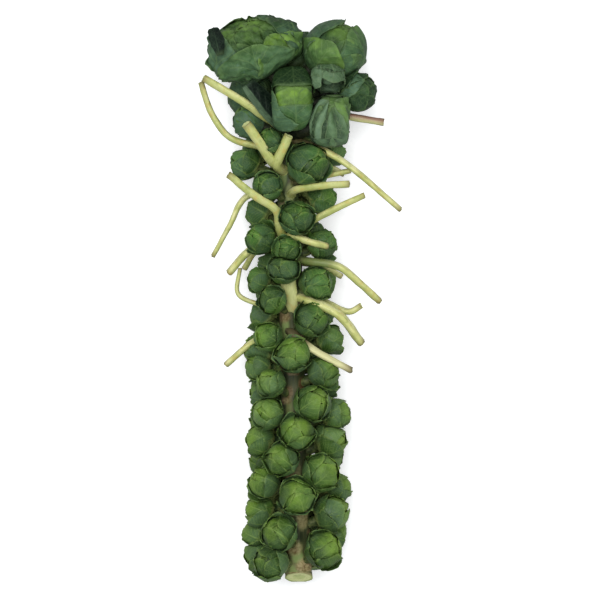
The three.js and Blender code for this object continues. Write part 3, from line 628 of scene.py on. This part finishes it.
# Each head is pressed by the table, by the box's sides where they are near, and by its neighbours.
for head in heads:
    head["presses"] = [(Vector((0, 0, -1)), head["centre"].z)]
    for axis, side in ((0, 1), (1, 1), (2, 1), (0, -1), (1, -1)):
        facing = Vector((0, 0, 0))
        facing[axis] = side
        wall = cad_high if side > 0 else cad_low
        room = abs(wall[axis] * 1000 - head["centre"][axis]) - BOX_GAP
        if room < NEAR_WALL * head["radii"][axis]:
            head["presses"].append((facing, room))
links = []
for i, head in enumerate(heads):
    for j, other in list(enumerate(heads))[i + 1:]:
        gap = other["centre"] - head["centre"]
        facing = gap.normalized()
        mine, theirs = full_reach(head, facing), full_reach(other, facing)
        if gap.length - mine - theirs < NEIGHBOUR_REACH:
            limit = gap.length * mine / (mine + theirs)
            head["presses"].append((facing, limit))
            other["presses"].append((-facing, gap.length - limit))
        if j < len(sprouts):
            links.append((gap.length - GROWN * (head["size"] + other["size"]), i, j))

# The closest sprouts share a node two by two, as many as the number of nodes asks for.
pairs = len(heads) + OTHER_NODES - MOST_NODES
for _, i, j in sorted(links):
    if pairs and heads[i]["mate"] is None and heads[j]["mate"] is None:
        heads[i]["mate"], heads[j]["mate"] = j, i
        pairs -= 1
for head in heads:
    head["presses"] += [(Vector(normal), limit) for normal, limit in head["flats"]]
    near = head["radii"].length + STALK_NEAR
    head["stalks"] = [
        (spot, max(stalk["widths"]) / 2 * STALK_NARROWING) for stalk in LEAF_STALKS
        for spot in stalk["way"][::STALK_SPACING] if (spot - head["centre"]).length < near]


def reach_in(head, direction):
    """The head's outside in one direction, flattened softly where it is pressed, and what it had
    before that, and the room up to its neighbours."""
    power = head["squareness"]
    own = sum(abs(a / b) ** power for a, b in zip(direction, head["radii"])) ** (-1 / power)
    lumps = noise.noise(direction * LUMP_SCALE + Vector((head["seed"] * 2.7, 0.4, 0.9)))
    own *= 1 + head["lumps"] * lumps
    pressed = (1.6 * own) ** -PRESS_SOFTNESS
    for normal, limit in head["presses"]:
        facing = direction.dot(normal)
        if facing > 0.05:
            pressed += (limit / facing) ** -PRESS_SOFTNESS
    reach = (pressed + own ** -PRESS_SOFTNESS) ** (-1 / PRESS_SOFTNESS)
    room = pressed ** (-1 / PRESS_SOFTNESS)
    for spot, clear in head["stalks"]:
        away = spot - head["centre"]
        forward = away.dot(direction)
        aside = (away - direction * forward).length
        if forward > 0 and aside < clear:
            room = min(room, forward - math.sqrt(clear * clear - aside * aside) - STALK_CLEARANCE)
    return max(min(reach, room), LEAST_REACH * own), own, room


def new_leaves():
    """An empty mesh for leaves, with the map that their veins follow and the tones they take."""
    bm = bmesh.new()
    bm.loops.layers.uv.new("leaf")
    bm.verts.layers.float_color.new("tone")
    return bm


PLAIN_LEAF = dict(towards=None, turn=0.0, blunt=2.0, wave=0.25, crumple=0.05, pucker=0.0, folds=12,
                  pleat=0.0, flare=0.0, fresh=0.0, bloom=0.0, thick=LEAF_THICKNESS)


def wrap_leaf(bm, head, leaf, columns, rows):
    """One leaf: it rises from the stub, spreads round the head and closes over its top."""
    tone = bm.verts.layers.float_color["tone"]
    across = head["tip"].cross(Vector((0.31, 0.22, 0.92))).normalized()
    out = across * math.cos(leaf["turn"]) + head["tip"].cross(across) * math.sin(leaf["turn"])
    if leaf["towards"]:
        out = Vector(leaf["towards"])
        out = (out - head["tip"] * out.dot(head["tip"])).normalized()
    beside = head["tip"].cross(out)
    made = bmesh.ops.create_grid(bm, x_segments=columns, y_segments=rows, size=1, calc_uvs=True)["verts"]
    seed = Vector((leaf["seed"] * 7.3, leaf["seed"] * 3.7, leaf["seed"] * 1.9))
    blunt = leaf["blunt"]
    for vert in made:
        x, t = vert.co.x, (vert.co.y + 1) / 2
        x = math.copysign(abs(x) ** CROWDED_MIDDLE, x)
        # The blade's outline, and the way that this point looks from the head's centre.
        fullness = min(1.0, FOOT_WIDTH + FOOT_SPREAD * t)
        if t > WIDEST:
            fullness = (1 - ((t - WIDEST) / TIP_SPAN) ** blunt) ** (1 / blunt)
        fullness = fullness * (1 + leaf["wave"] * noise.noise(Vector((t * 4, 0, x)) + seed))
        aside = math.radians(leaf["wide"]) * x * fullness
        t_here = t * (1 - SIDES_DRAWN_BACK * x * x * t)
        down = math.radians(leaf["base"] + (leaf["end"] - leaf["base"]) * t_here)
        along = head["tip"] * math.cos(down) + out * math.sin(down)
        direction = along * math.cos(aside) + beside * math.sin(aside)
        reach, own, room = reach_in(head, direction)
        # How far it stands off: its layer, its ribs, and where it is free its crumples and its rim.
        free = (reach / own) ** 4
        rim = max(abs(x) ** 5, t ** 8) * min(1.0, t * 2)
        rib = math.exp(-(x / MIDRIB_WIDTH) ** 2) * (1 - 0.8 * t)
        spot = direction * CRUMPLE_PACE + Vector((7.3, 3.7, 1.9)) * head["seed"]
        ruffle = leaf["crumple"] * (noise.noise(spot) + 0.5 * noise.noise(spot * 2.3)) * (0.4 + t)
        ruffle += leaf["pucker"] * noise.noise(spot * PUCKER_PACE)
        ruffle += leaf["frill"] * rim * noise.noise(Vector((t * 9, x * 3, leaf["seed"])))
        fold = math.cos(leaf["folds"] * x + 3 * t + leaf["seed"]) * leaf["pleat"]
        ruffle += fold * min(1, 2 * t)
        side_ribs = SIDE_RIB_HEIGHT * leaf["rib"] * math.cos((t - SIDE_RIB_SLANT * abs(x)) * SIDE_RIB_PACE)
        side_ribs *= min(1, 3 * abs(x)) * t
        grow = leaf["layer"] + free * (leaf["lift"] * rim + ruffle) + leaf["rib"] * rib + side_ribs
        out_to = reach * grow + leaf["flare"] * own * t ** 1.5
        tucked = room - TUCK * max(0.0, 1.06 - leaf["layer"])
        vert.co = head["centre"] + direction * min(out_to, max(tucked, reach * leaf["layer"]))
        facing = min(1.0, max(0.0, 0.5 + 0.5 * direction.dot(head["tip"]) + leaf["fresh"]))
        # Pleated leaves are painted lighter on their crests and darker in their valleys: painted light and
        # shade.
        painted_light = FOLD_PAINTED_LIGHT * fold
        vert[tone] = (leaf["shade"] + painted_light, head["shade"], facing, leaf["bloom"] * (1 + painted_light))
    bmesh.ops.solidify(bm, geom=list({face for vert in made for face in vert.link_faces}),
                       thickness=leaf["thick"])


def heart_of(bm, head, layer, segments):
    """The closed heart that the leaves are wrapped round."""
    made = bmesh.ops.create_uvsphere(bm, u_segments=segments, v_segments=segments // 2 + 2, radius=1)
    tone, uv = bm.verts.layers.float_color["tone"], bm.loops.layers.uv.verify()
    for vert in made["verts"]:
        direction = vert.co.normalized()
        vert.co = head["centre"] + direction * (reach_in(head, direction)[0] * layer)
        # The heart takes the darkest tone: painted shade where it shows deep inside an open head.
        vert[tone] = (0.0, head["shade"], 0.2, 0.0)
        for loop in vert.link_loops:
            loop[uv].uv = (0.3, 0.45)


def stub_of(bm, head):
    """The pale stub from the stem to the foot of the head."""
    to_seat = head["seat"] - head["centre"]
    start = head["centre"] + to_seat * STUB_START
    length = (head["seat"] - start).length
    turn = to_seat.to_track_quat("Z", "Y").to_matrix().to_4x4()
    made = bmesh.ops.create_cone(
        bm, cap_ends=True, segments=STUB_SIDES, radius1=head["stub"] * 1.15, radius2=head["stub"] * 0.95,
        depth=length, matrix=Matrix.Translation(start + to_seat.normalized() * length / 2) @ turn)
    for face in {face for vert in made["verts"] for face in vert.link_faces}:
        face.material_index = 1


# Leaf veins: a midrib that fades to the tip, side ribs that leave it forwards, and a fine net.
veins, given, wanted = new_group(
    "leaf_veins", {"Leaf": None, "Place": None, "Side Ribs": 9.0, "Net": 480.0},
    ("Ribs", "Mesh", "Rim", "Foot", "Domes"))
u, v, _ = node(veins, "ShaderNodeSeparateXYZ", {0: given["Leaf"]}).outputs
aside = times(veins, maths(veins, "ABSOLUTE", maths(veins, "SUBTRACT", u, 0.5)), 2.0)
midrib = span(veins, maths(veins, "DIVIDE", aside, span(veins, v, 0.0, 1.0, 0.13, 0.03)), 0.5, 1.6, 1.0, 0.0)
ladder = times(veins, maths(veins, "SUBTRACT", v, times(veins, aside, 0.4)), given["Side Ribs"])
rung = maths(veins, "ABSOLUTE", maths(veins, "SUBTRACT", maths(veins, "FRACT", ladder), 0.5))
side_ribs = times(veins, span(veins, rung, 0.02, 0.11, 0.8, 0.0), span(veins, aside, 0.55, 1.0, 1.0, 0.15))
cells = node(veins, "ShaderNodeTexVoronoi", {"Vector": given["Place"], "Scale": given["Net"]},
             feature="DISTANCE_TO_EDGE").outputs["Distance"]
blisters = node(veins, "ShaderNodeTexVoronoi", {
    "Vector": given["Place"], "Smoothness": 0.6, "Scale": times(veins, given["Net"], 0.55)},
    feature="SMOOTH_F1").outputs["Distance"]
for label, mask in (
        ("Ribs", maths(veins, "MAXIMUM", midrib, side_ribs)),
        ("Mesh", times(veins, span(veins, cells, 0.0, 0.16, 1.0, 0.0),
                       span(veins, mottle(veins, given["Place"], 160.0), 0.35, 0.65, 0.2, 1.0))),
        ("Rim", maths(veins, "MAXIMUM", span(veins, aside, 0.9, 1.0), span(veins, v, 0.93, 1.0))),
        ("Foot", span(veins, v, 0.02, 0.2, 0.8, 0.0)),
        ("Domes", span(veins, blisters, 0.1, 0.7, 1.0, 0.0))):
    veins.links.new(mask, wanted[label])

# Waxy bloom: the thin grey film on the leaves, rubbed off in patches.
bloom, given, wanted = new_group("waxy_bloom", {"Place": None, "Scale": 60.0}, ("Film", "Grain"))
film = span(bloom, mottle(bloom, given["Place"], given["Scale"], 3.0), 0.35, 0.68)
bloom.links.new(film, wanted["Film"])
bloom.links.new(mottle(bloom, given["Place"], 900.0), wanted["Grain"])


def leaf_finish(name, film_share, rib_count, net_scale, pucker, gloss, near_heart=1.0, far_heart=1.0,
                **colours):
    """A leaf's skin: darker and lighter leaves, a fresh heart that is partly a painted highlight, ribs,
    net, rim, pale foot, bloom that is thicker at the sides as a painted sheen, and painted shade
    between the blisters. The heart differs from the foot of the stalk, which is near, to its crown,
    which is far."""
    deep, near_fresh, vein = colours["deep"], colours["fresh"], colours["vein"]
    material, tree, where = new_finish(name, {"Specular IOR Level": gloss})
    own, shared, facing, dust = attribute(tree, "tone")
    leaf = node(tree, "ShaderNodeUVMap", uv_map="leaf").outputs[0]
    ribs, net, rim, foot, domes = node(tree, "ShaderNodeGroup", {
        "Leaf": leaf, "Place": where, "Side Ribs": rib_count, "Net": net_scale}, node_tree=veins).outputs
    film, grain = node(tree, "ShaderNodeGroup", {"Place": where}, node_tree=bloom).outputs
    patch = mottle(tree, where, 75.0, 4.0)
    along = node(tree, "ShaderNodeSeparateXYZ", {0: where}).outputs[1]
    shade = plus(tree, times(tree, own, 0.7), times(tree, shared, 0.12))
    shade = plus(tree, shade, times(tree, span(tree, patch, 0.3, 0.7), 0.22))
    skin = ramp(tree, shade, (0.1, deep), (0.5, colours["full"]), (0.9, colours["light"]))
    # The fresh heart at each head's tip is partly the young leaves' own yellow-green and partly a painted
    # highlight.
    heart = times(tree, span(tree, facing, 0.62, 1.0), span(tree, patch, 0.35, 0.6, 0.35, 0.95))
    heart = times(tree, heart, span(tree, along, -0.07, 0.0, near_heart, far_heart))
    fresh = mixed(tree, span(tree, along, -0.07, 0.0), tint(*near_fresh),
                  tint(*colours.get("far_fresh", near_fresh)))
    skin = mixed(tree, heart, skin, fresh)
    # The film is thicker at the sides than at the tip: painted sheen of the wax seen edge-on.
    dusted = times(tree, film, span(tree, facing, 0.35, 0.95, film_share, film_share * 0.3))
    dusted = times(tree, dusted, maths(tree, "ADD", dust, 1.0, clamp=True))
    thick_bloom = times(tree, dust, span(tree, patch, 0.2, 0.6, 0.5, 0.85))
    # The second coat darkens the valleys between the blisters: painted shade.
    skin = coats(tree, skin, (maths(tree, "MAXIMUM", dusted, thick_bloom), colours["film"]),
                 (span(tree, domes, 0.0, 0.6, 0.6 * pucker, 0.0), deep))
    skin = mixed(tree, span(tree, along, -0.1, 0.1), skin, (0.8, 0.92, 0.98), "MULTIPLY")
    skin = coats(tree, skin, (times(tree, net, 0.2), vein),
                 (times(tree, ribs, span(tree, shade, 0.1, 0.5, 0.16, 0.4)), vein),
                 (times(tree, rim, 0.45), vein), (foot, colours["foot"]))
    relief = plus(tree, times(tree, net, 0.35), times(tree, ribs, 0.8))
    relief = plus(tree, relief, times(tree, grain, 0.15))
    relief = plus(tree, relief, times(tree, domes, 4 * pucker))
    lay_on(tree, skin, span(tree, film, 0.0, 1.0, 0.42, 0.58), relief, 0.55, 0.0006)
    return material


def stub_finish(name, dark, pale, streak):
    material, tree, where = new_finish(name, {"Roughness": 0.6, "Specular IOR Level": 0.25})
    streaks, patches = fibres(tree, where, 300.0)
    skin = ramp(tree, patches, (0.35, dark), (0.65, pale))
    lay_on(tree, coats(tree, skin, (span(tree, streaks, 0.5, 0.7, 0.0, 0.4), streak)))
    return material


sprout_leaf = leaf_finish(
    "sprout_leaf", film_share=0.6, rib_count=8.0, net_scale=520.0, pucker=0.12, gloss=0.22,
    near_heart=0.72, far_heart=0.7, deep=(36, 60, 21), full=(64, 95, 35), light=(98, 127, 50),
    fresh=(116, 149, 46), far_fresh=(76, 124, 28), vein=(134, 160, 80), foot=(136, 150, 84),
    film=(84, 111, 80))
stub_flesh = stub_finish("sprout_stub", dark=(44, 58, 26), pale=(84, 94, 50), streak=(104, 102, 62))


def fill_sprout(bm, head):
    """Wraps a sprout's leaves round its heart, sets its loose collar round its foot, and its stub."""
    chance = random.Random(head["seed"])
    head["shade"], dull = chance.random(), DULL_PLACES.get(head["seed"], 0.0)
    heart_of(bm, head, HEART_LAYER, 20 if head["shown"] else 16)
    for k in range(SPROUT_LEAF_COUNT):
        outer = k / (SPROUT_LEAF_COUNT - 1)
        leaf = dict(
            PLAIN_LEAF, turn=head["spin"] + math.radians(TURN_OF_LEAVES * k), layer=0.85 + 0.15 * outer,
            base=166 - 8 * outer, end=-38 + 70 * outer ** 1.4 + chance.uniform(-8, 8),
            wide=84 - 20 * outer + chance.uniform(-5, 5), lift=0.03 + 0.06 * outer,
            frill=0.1 * outer, rib=0.025, shade=chance.uniform(0.0, 1.0) - dull,
            bloom=chance.uniform(-0.6, 0.8) * outer - 0.5 * dull, fresh=-0.25 * dull,
            seed=head["seed"] + 0.37 * k)
        grid = 8 if k < INNER_LEAF_COUNT else 15 if head["shown"] else 10
        wrap_leaf(bm, head, leaf, grid, grid)
    # The collar leaves take darker shades than the wrapped ones: painted shade round the sprout's foot.
    collars = SHOWN_COLLARS if head["shown"] else HIDDEN_COLLARS
    flare = FLARE * (0.5 if head["tip"].z > 0.5 else 1)
    for k in range(collars):
        leaf = dict(
            PLAIN_LEAF,
            turn=head["spin"] + math.radians(40 + 360 / collars * k) + chance.uniform(-0.4, 0.4),
            layer=1.03 + 0.015 * k, base=146, end=chance.uniform(58, 84), wide=chance.uniform(50, 66),
            lift=0.06, frill=0.14, rib=0.02, shade=chance.uniform(0.0, 0.4),
            bloom=chance.uniform(-0.3, 0.6), fresh=-0.2, flare=chance.uniform(0.3, 1.0) * flare,
            seed=head["seed"] + 0.37 * k + 0.19)
        wrap_leaf(bm, head, leaf, COLLAR_COLUMNS, COLLAR_ROWS)
    stub_of(bm, head)


number = 0
for k, head in enumerate(heads[:len(sprouts)]):
    mate = head["mate"]
    if mate is not None and mate < k:
        continue
    number += 1
    bm = new_leaves()
    fill_sprout(bm, head)
    if mate is not None:
        fill_sprout(bm, heads[mate])
    finish_piece(bm, f"wrapped_sprouts_{number:02d}", (sprout_leaf, stub_flesh),
                 f"sprouts_{number:02d}")

# ==============================
# The crown: the young top of the plant, a cluster of looser and larger heads in blue-green leaves
# with strong pale veins. The leaves are shells like the sprouts', more crumpled and more open.
CROWN_THICKNESS, CROWN_HEART_SEGMENTS = 0.8, 28
# The crown leaves' foot colour is dark: painted shade where the leaves' feet lie deep among the stubs.
crown_leaf = leaf_finish(
    "crown_leaf", film_share=0.5, rib_count=7.0, net_scale=260.0, pucker=0.5, gloss=0.14,
    deep=(26, 47, 20), full=(61, 89, 44), light=(94, 120, 66), fresh=(120, 148, 54),
    vein=(98, 124, 74), foot=(42, 54, 28), film=(96, 120, 92))
pale_leaf = leaf_finish(
    "pale_crown_leaf", film_share=0.5, rib_count=7.0, net_scale=260.0, pucker=0.3, gloss=0.16,
    deep=(30, 48, 26), full=(68, 92, 50), light=(104, 127, 84), fresh=(108, 136, 56),
    vein=(114, 136, 96), foot=(70, 86, 50), film=(114, 134, 102))
# The crown's stubs are near-black: painted shade deep inside the crown.
crown_stub_painted_shade = stub_finish("crown_stub_painted_shade", dark=(20, 28, 14), pale=(38, 44, 24), streak=(52, 50, 32))


def outer_leaf(towards, end, wide, shade, base=150, **more):
    """One leaf on the outside of a crown head: the side it lies on, where its tip ends, measured in
    degrees from the head's tip, its half width in degrees, and how light it is."""
    return dict(towards=towards, end=end, wide=wide, shade=shade, base=base, **more)


def crown_make(leaves, grid, outer=(), **more):
    """How one head of the crown is made: its number of inner leaves, how fine they are, its outer
    leaves, and where it departs from the common values."""
    common = dict(finish=crown_leaf, heart=0.84, tone=0.4, shades=(0.0, 0.8), bloom=0.2, fresh=-0.1,
                  ends=(-40, 22), wide=(82, 60), crumple=0.05, lift=0.05, frill=0.1, rib=0.018,
                  pucker=0.0)
    return dict(common, leaves=leaves, grid=grid, outer=outer, **more)


CROWN_MAKE = dict(
    terminal_head=crown_make(
        15, 40, tone=0.3, crumple=0.15, frill=0.12, rib=0.02, ends=(-35, 50), wide=(74, 46),
        pucker=0.07, outer=(
            outer_leaf((0.2, 0.9, 0.4), 26, 52, 0.15, fresh=-0.3, pleat=0.02),
            outer_leaf((1, 0.6, 0.2), 34, 50, 0.0, fresh=-0.5, lift=0.1),
            outer_leaf((0.8, -0.5, 0.6), 46, 44, 0.9, fresh=0.25, bloom=-0.4, pleat=0.02),
            outer_leaf((-1, -0.5, 0.4), 38, 60, 0.45, fresh=-0.4, bloom=0.8, lift=0.0, frill=0.03,
                       pucker=0.03),
            outer_leaf((0.1, -0.7, 0.75), 46, 52, 0.6, bloom=0.35, lift=0.09, blunt=3))),
    round_head=crown_make(
        10, 30, crumple=0.03, lift=0.04, frill=0.06, rib=0.014, outer=(
            outer_leaf((0.4, -1, 0.4), 46, 60, 0.3, bloom=0.3),
            outer_leaf((1, -0.1, 0.5), 0, 62, 0.45, fresh=-0.2, bloom=0.3, blunt=3),
            outer_leaf((-0.3, 1, 0.3), 16, 62, 0.2, fresh=-0.4, bloom=0.5),
            outer_leaf((-0.75, -0.7, 0.6), 44, 56, 0.6, fresh=0.3, lift=0.09, frill=0.03, bloom=0.25))),
    front_head=crown_make(
        10, 26, tone=0.1, crumple=0.04, lift=0.04, frill=0.06, rib=0.02, outer=(
            # The first outer leaf's bright band is a painted highlight where a facet of the head catches the
            # light; the second leaf, dark over the top end, is painted shade.
            outer_leaf((0.1, -0.5, 1), 4, 70, 0.6, fresh=0.36, blunt=4, bloom=-1, lift=0.02, frill=0.03),
            outer_leaf((0, 1, 0.1), -4, 76, -0.1, fresh=-0.6, blunt=5, bloom=-1, rib=0.01, layer=1.08),
            outer_leaf((0.1, -1, 0.2), 48, 84, 0.62, base=158, fresh=-0.6, bloom=-0.1, blunt=5,
                       rib=0.01, layer=1.07),
            outer_leaf((-1, -0.3, 0.3), 50, 80, 0.6, fresh=-0.6, bloom=0.8, layer=1.13, lift=0.0,
                       frill=0.04))),
    side_head=crown_make(
        8, 20, tone=0.1, lift=0.06, frill=0.08, shades=(0.0, 0.2), bloom=-0.7, fresh=-0.45, outer=(
            outer_leaf((0.1, -1, 0.4), 36, 66, 0.0, fresh=-0.6, bloom=-0.7),
            outer_leaf((0.2, 1, 0.5), 24, 60, 0.0, fresh=-0.6, bloom=-0.7),
            outer_leaf((-0.8, 0.4, 0.8), 34, 40, 0.5, fresh=-0.4, bloom=1.0),
            outer_leaf((-0.7, 1, 0.4), 52, 50, 0.0, base=146, fresh=-0.6, bloom=-0.7, flare=0.16))),
    leafy_head=crown_make(
        9, 24, finish=pale_leaf, tone=0.5, crumple=0.08, lift=0.08, frill=0.2, rib=0.02, outer=(
            outer_leaf((1, -0.3, 0.3), 10, 44, 0.4, fresh=0.1, bloom=-0.3, pleat=0.09, folds=5),
            outer_leaf((-0.9, -0.3, 0.5), 6, 40, 0.7, fresh=-0.4, bloom=0.8, pleat=0.1, folds=6),
            outer_leaf((0.3, -0.6, 0.8), 22, 24, 0.4, fresh=-0.2, bloom=0.3, pleat=0.07, folds=4),
            outer_leaf((0.1, -1, 0.1), 100, 60, 0.1, base=156, fresh=-0.3, bloom=0.3, pleat=0.05,
                       folds=7))),
    # The small fold's inner leaves and heart are painted dark: painted shade in its hollow.
    small_fold=crown_make(
        6, 20, finish=pale_leaf, crumple=0.1, lift=0.1, frill=0.2, rib=0.03, ends=(40, 60),
        wide=(66, 54), heart=0.35, bloom=0.0, fresh=-0.6, shades=(-0.3, 0.0), outer=(
            outer_leaf((0.9, -0.3, 0.3), 56, 60, 0.2, fresh=-0.6, bloom=0.2),
            outer_leaf((0.3, 1, 0.5), 30, 80, 0.45, fresh=-0.5, bloom=0.4, frill=0.05),
            outer_leaf((-1, 0.3, 0.3), 40, 46, 0.4, fresh=-0.6, bloom=0.7))),
    left_head=crown_make(
        8, 18, lift=0.06, outer=(outer_leaf((0, -0.3, 1), 0, 76, 0.35, fresh=-0.6, bloom=1.0),)),
    # The middle head underneath is painted darker: painted shade deep in the gap between the upper heads.
    under_middle=crown_make(9, 18, crumple=0.04, shades=(0.0, 0.3), bloom=-0.8, fresh=-0.4),
    under_left=crown_make(9, 18, frill=0.12),
    under_right=crown_make(9, 18, crumple=0.04),
)
for head in CROWN_HEADS:
    make, chance, bm = CROWN_MAKE[head["crown"]], random.Random(head["seed"]), new_leaves()
    head["shade"] = make["tone"]
    heart_of(bm, head, make["heart"], CROWN_HEART_SEGMENTS)
    (first_end, last_end), (first_wide, last_wide) = make["ends"], make["wide"]
    for k in range(make["leaves"]):
        outer = k / (make["leaves"] - 1)
        leaf = dict(
            PLAIN_LEAF, turn=head["spin"] + math.radians(TURN_OF_LEAVES * k), layer=0.88 + 0.13 * outer,
            base=166 - 10 * outer,
            end=first_end + (last_end - first_end) * outer + chance.uniform(-8, 8),
            wide=first_wide + (last_wide - first_wide) * outer + chance.uniform(-6, 6),
            lift=make["lift"] * (0.3 + outer), wave=0.2, crumple=make["crumple"],
            frill=make["frill"] * outer, rib=make["rib"], pucker=make["pucker"], thick=CROWN_THICKNESS,
            shade=chance.uniform(*make["shades"]), bloom=make["bloom"] * outer, fresh=make["fresh"],
            seed=head["seed"] + 0.37 * k)
        wrap_leaf(bm, head, leaf, make["grid"], make["grid"])
    for k, own in enumerate(make["outer"]):
        leaf = dict(PLAIN_LEAF, layer=1.035 + 0.014 * k, lift=0.05, wave=0.15,
                    crumple=make["crumple"] * 0.8, frill=0.1, rib=0.025, thick=CROWN_THICKNESS,
                    pucker=make["pucker"], seed=head["seed"] + 0.53 * k + 0.11)
        wrap_leaf(bm, head, dict(leaf, **own), make["grid"], make["grid"])
    stub_of(bm, head)
    finish_piece(bm, f"leafy_{head['crown']}_leaves", (make["finish"], crown_stub_painted_shade),
                 f"crown_{head['crown']}")

# ==============================
# The loose leaves of the crown: thin blades with a raised midrib, one of them torn and bent back
# over the heads. Their near-black finish is painted shade, and the torn one's lighter half painted light.
LOOSE_LEAVES = {
    "crown_torn_leaf": dict(midrib=((428, -15, 64), (447, -31.5, 80), (472, -50, 84)), halves=(5, 16),
                            side=(0.8, 0.6, 0), folds=1, painted_light=(1.0, -0.1)),
    "crown_terminal_head": dict(midrib=((500, -74, 89), (512, -76.5, 89), (527, -80, 80)),
                                halves=(8, 7), side=(0.95, 0.3, 0.2), folds=1, painted_light=(0.1, -0.1)),
    "crown_leafy_head": dict(midrib=((436, 24, 66), (428, 36, 62), (421, 43, 58)), halves=(6, 6),
                             side=(0.62, 0.78, 0), folds=-1, painted_light=(0.0, -0.1)),
}
BLADE_THICKNESS, BLADE_CUP, BLADE_COLUMNS, BLADE_ROWS = 0.9, 0.3, 24, 32
# The loose leaves' finish is near-black: painted shade for leaves that lie in the shadow among the heads.
torn_leaf = leaf_finish(
    "torn_leaf", film_share=0.1, rib_count=6.0, net_scale=260.0, pucker=0.5, gloss=0.1,
    deep=(15, 24, 17), full=(42, 56, 38), light=(94, 110, 80), fresh=(36, 56, 40),
    vein=(64, 82, 62), foot=(60, 76, 50), film=(44, 60, 48))
for number, (owner, blade) in enumerate(LOOSE_LEAVES.items()):
    way, sideways, bm = smooth_way(blade["midrib"]), Vector(blade["side"]).normalized(), new_leaves()
    tone = bm.verts.layers.float_color["tone"]
    bmesh.ops.create_grid(bm, x_segments=BLADE_COLUMNS, y_segments=BLADE_ROWS, size=1, calc_uvs=True)
    for vert in bm.verts:
        x, share = vert.co.x, (vert.co.y + 1) / 2
        folded = x * blade["folds"]
        middle = at_share(way, share)
        ahead = (at_share(way, min(1, share + 0.03)) - at_share(way, max(0, share - 0.03))).normalized()
        face = sideways.cross(ahead).normalized()
        half = blade["halves"][int(folded > 0)]
        half *= 0.35 + 0.65 * math.sin(math.pi * (0.12 + 0.76 * share))
        half *= 0.55 + 0.6 * share if folded < 0 else 1
        half *= 1 + 0.12 * noise.noise(Vector((share * 7, math.copysign(1, x), number)))
        ruffle = 1.1 * noise.noise(Vector((share * 5, x * 2, number * 5.1))) * abs(x)
        rib = 0.7 * math.exp(-(x / 0.1) ** 2)
        droop = BLADE_CUP * half * x * x * (1.9 if folded > 0 else 0.5)
        vert.co = middle + sideways * (x * half) + face * (rib + ruffle - droop)
        # Each half of a blade takes its own tone: the torn leaf's lighter half is painted light, its darker
        # half painted shade, and raised ruffles are painted a little lighter.
        painted_light = blade["painted_light"][int(folded > 0.12)]
        vert[tone] = (painted_light + 0.1 * ruffle, painted_light, 0.1, 0.0)
    bmesh.ops.solidify(bm, geom=bm.faces[:], thickness=BLADE_THICKNESS)
    finish_piece(bm, f"loose_leaf_{number + 1}", (torn_leaf,), owner)

# ==============================
# The table, the light and the camera: a white table top, one wide soft lamp overhead with a weaker
# one to the side, and a camera that looks straight down.
TABLE_SIZE, LAMP_AIM = 8.0, (0, 0, 0.04)
VIEW_WIDTH, VIEW_LENS, VIEW_SENSOR, VIEW_PLANE = 0.57, 200.0, 36.0, 0.06
VIEW_CENTRE = (-0.0006, -0.0012)

white = bpy.data.materials.new("white_table")
white.use_nodes = True
surface = white.node_tree.nodes["Principled BSDF"].inputs
surface["Roughness"].default_value, surface["Specular IOR Level"].default_value = 0.9, 0.1
surface["Emission Color"].default_value = (1, 1, 1, 1)
seen = node(white.node_tree, "ShaderNodeLightPath").outputs["Is Camera Ray"]
shown_white = mixed(white.node_tree, seen, (0.46, 0.46, 0.46), (0.95, 0.95, 0.95))
white.node_tree.links.new(shown_white, surface["Base Color"])
white.node_tree.links.new(times(white.node_tree, seen, 0.3), surface["Emission Strength"])
bm = bmesh.new()
bmesh.ops.create_grid(bm, x_segments=1, y_segments=1, size=TABLE_SIZE / 2)
new_object(bm, "table_top", (white,))


def hang_lamp(name, place_, size, power):
    lamp = bpy.data.lights.new(name, "AREA")
    lamp.shape, lamp.size, lamp.energy = "DISK", size, power
    holder = bpy.data.objects.new(name, lamp)
    holder.location = place_
    holder.rotation_euler = (Vector(LAMP_AIM) - Vector(place_)).to_track_quat("-Z", "Y").to_euler()
    holder.visible_camera = False
    bpy.context.scene.collection.objects.link(holder)


hang_lamp("overhead_lamp", (-0.2, 0.3, 2.3), size=1.4, power=36.0)
hang_lamp("side_lamp", (1.8, -1.2, 1.3), size=1.2, power=6.0)

world = bpy.data.worlds.new("pale_room")
bpy.context.scene.world = world
world.use_nodes = True
sky = world.node_tree.nodes["Background"]
sky.inputs["Color"].default_value = (0.95, 0.97, 1.0, 1)
seen = node(world.node_tree, "ShaderNodeLightPath").outputs["Is Camera Ray"]
world.node_tree.links.new(span(world.node_tree, seen, 0.0, 1.0, 0.68, 0.9), sky.inputs["Strength"])
bpy.context.scene.view_settings.view_transform = "Standard"

camera_data = bpy.data.cameras.new("overhead_camera")
camera_data.lens, camera_data.sensor_width, camera_data.clip_end = VIEW_LENS, VIEW_SENSOR, 50.0
camera = bpy.data.objects.new("overhead_camera", camera_data)
camera.location = (*VIEW_CENTRE, VIEW_PLANE + VIEW_WIDTH * VIEW_LENS / VIEW_SENSOR)
bpy.context.scene.collection.objects.link(camera)
bpy.context.scene.camera = camera
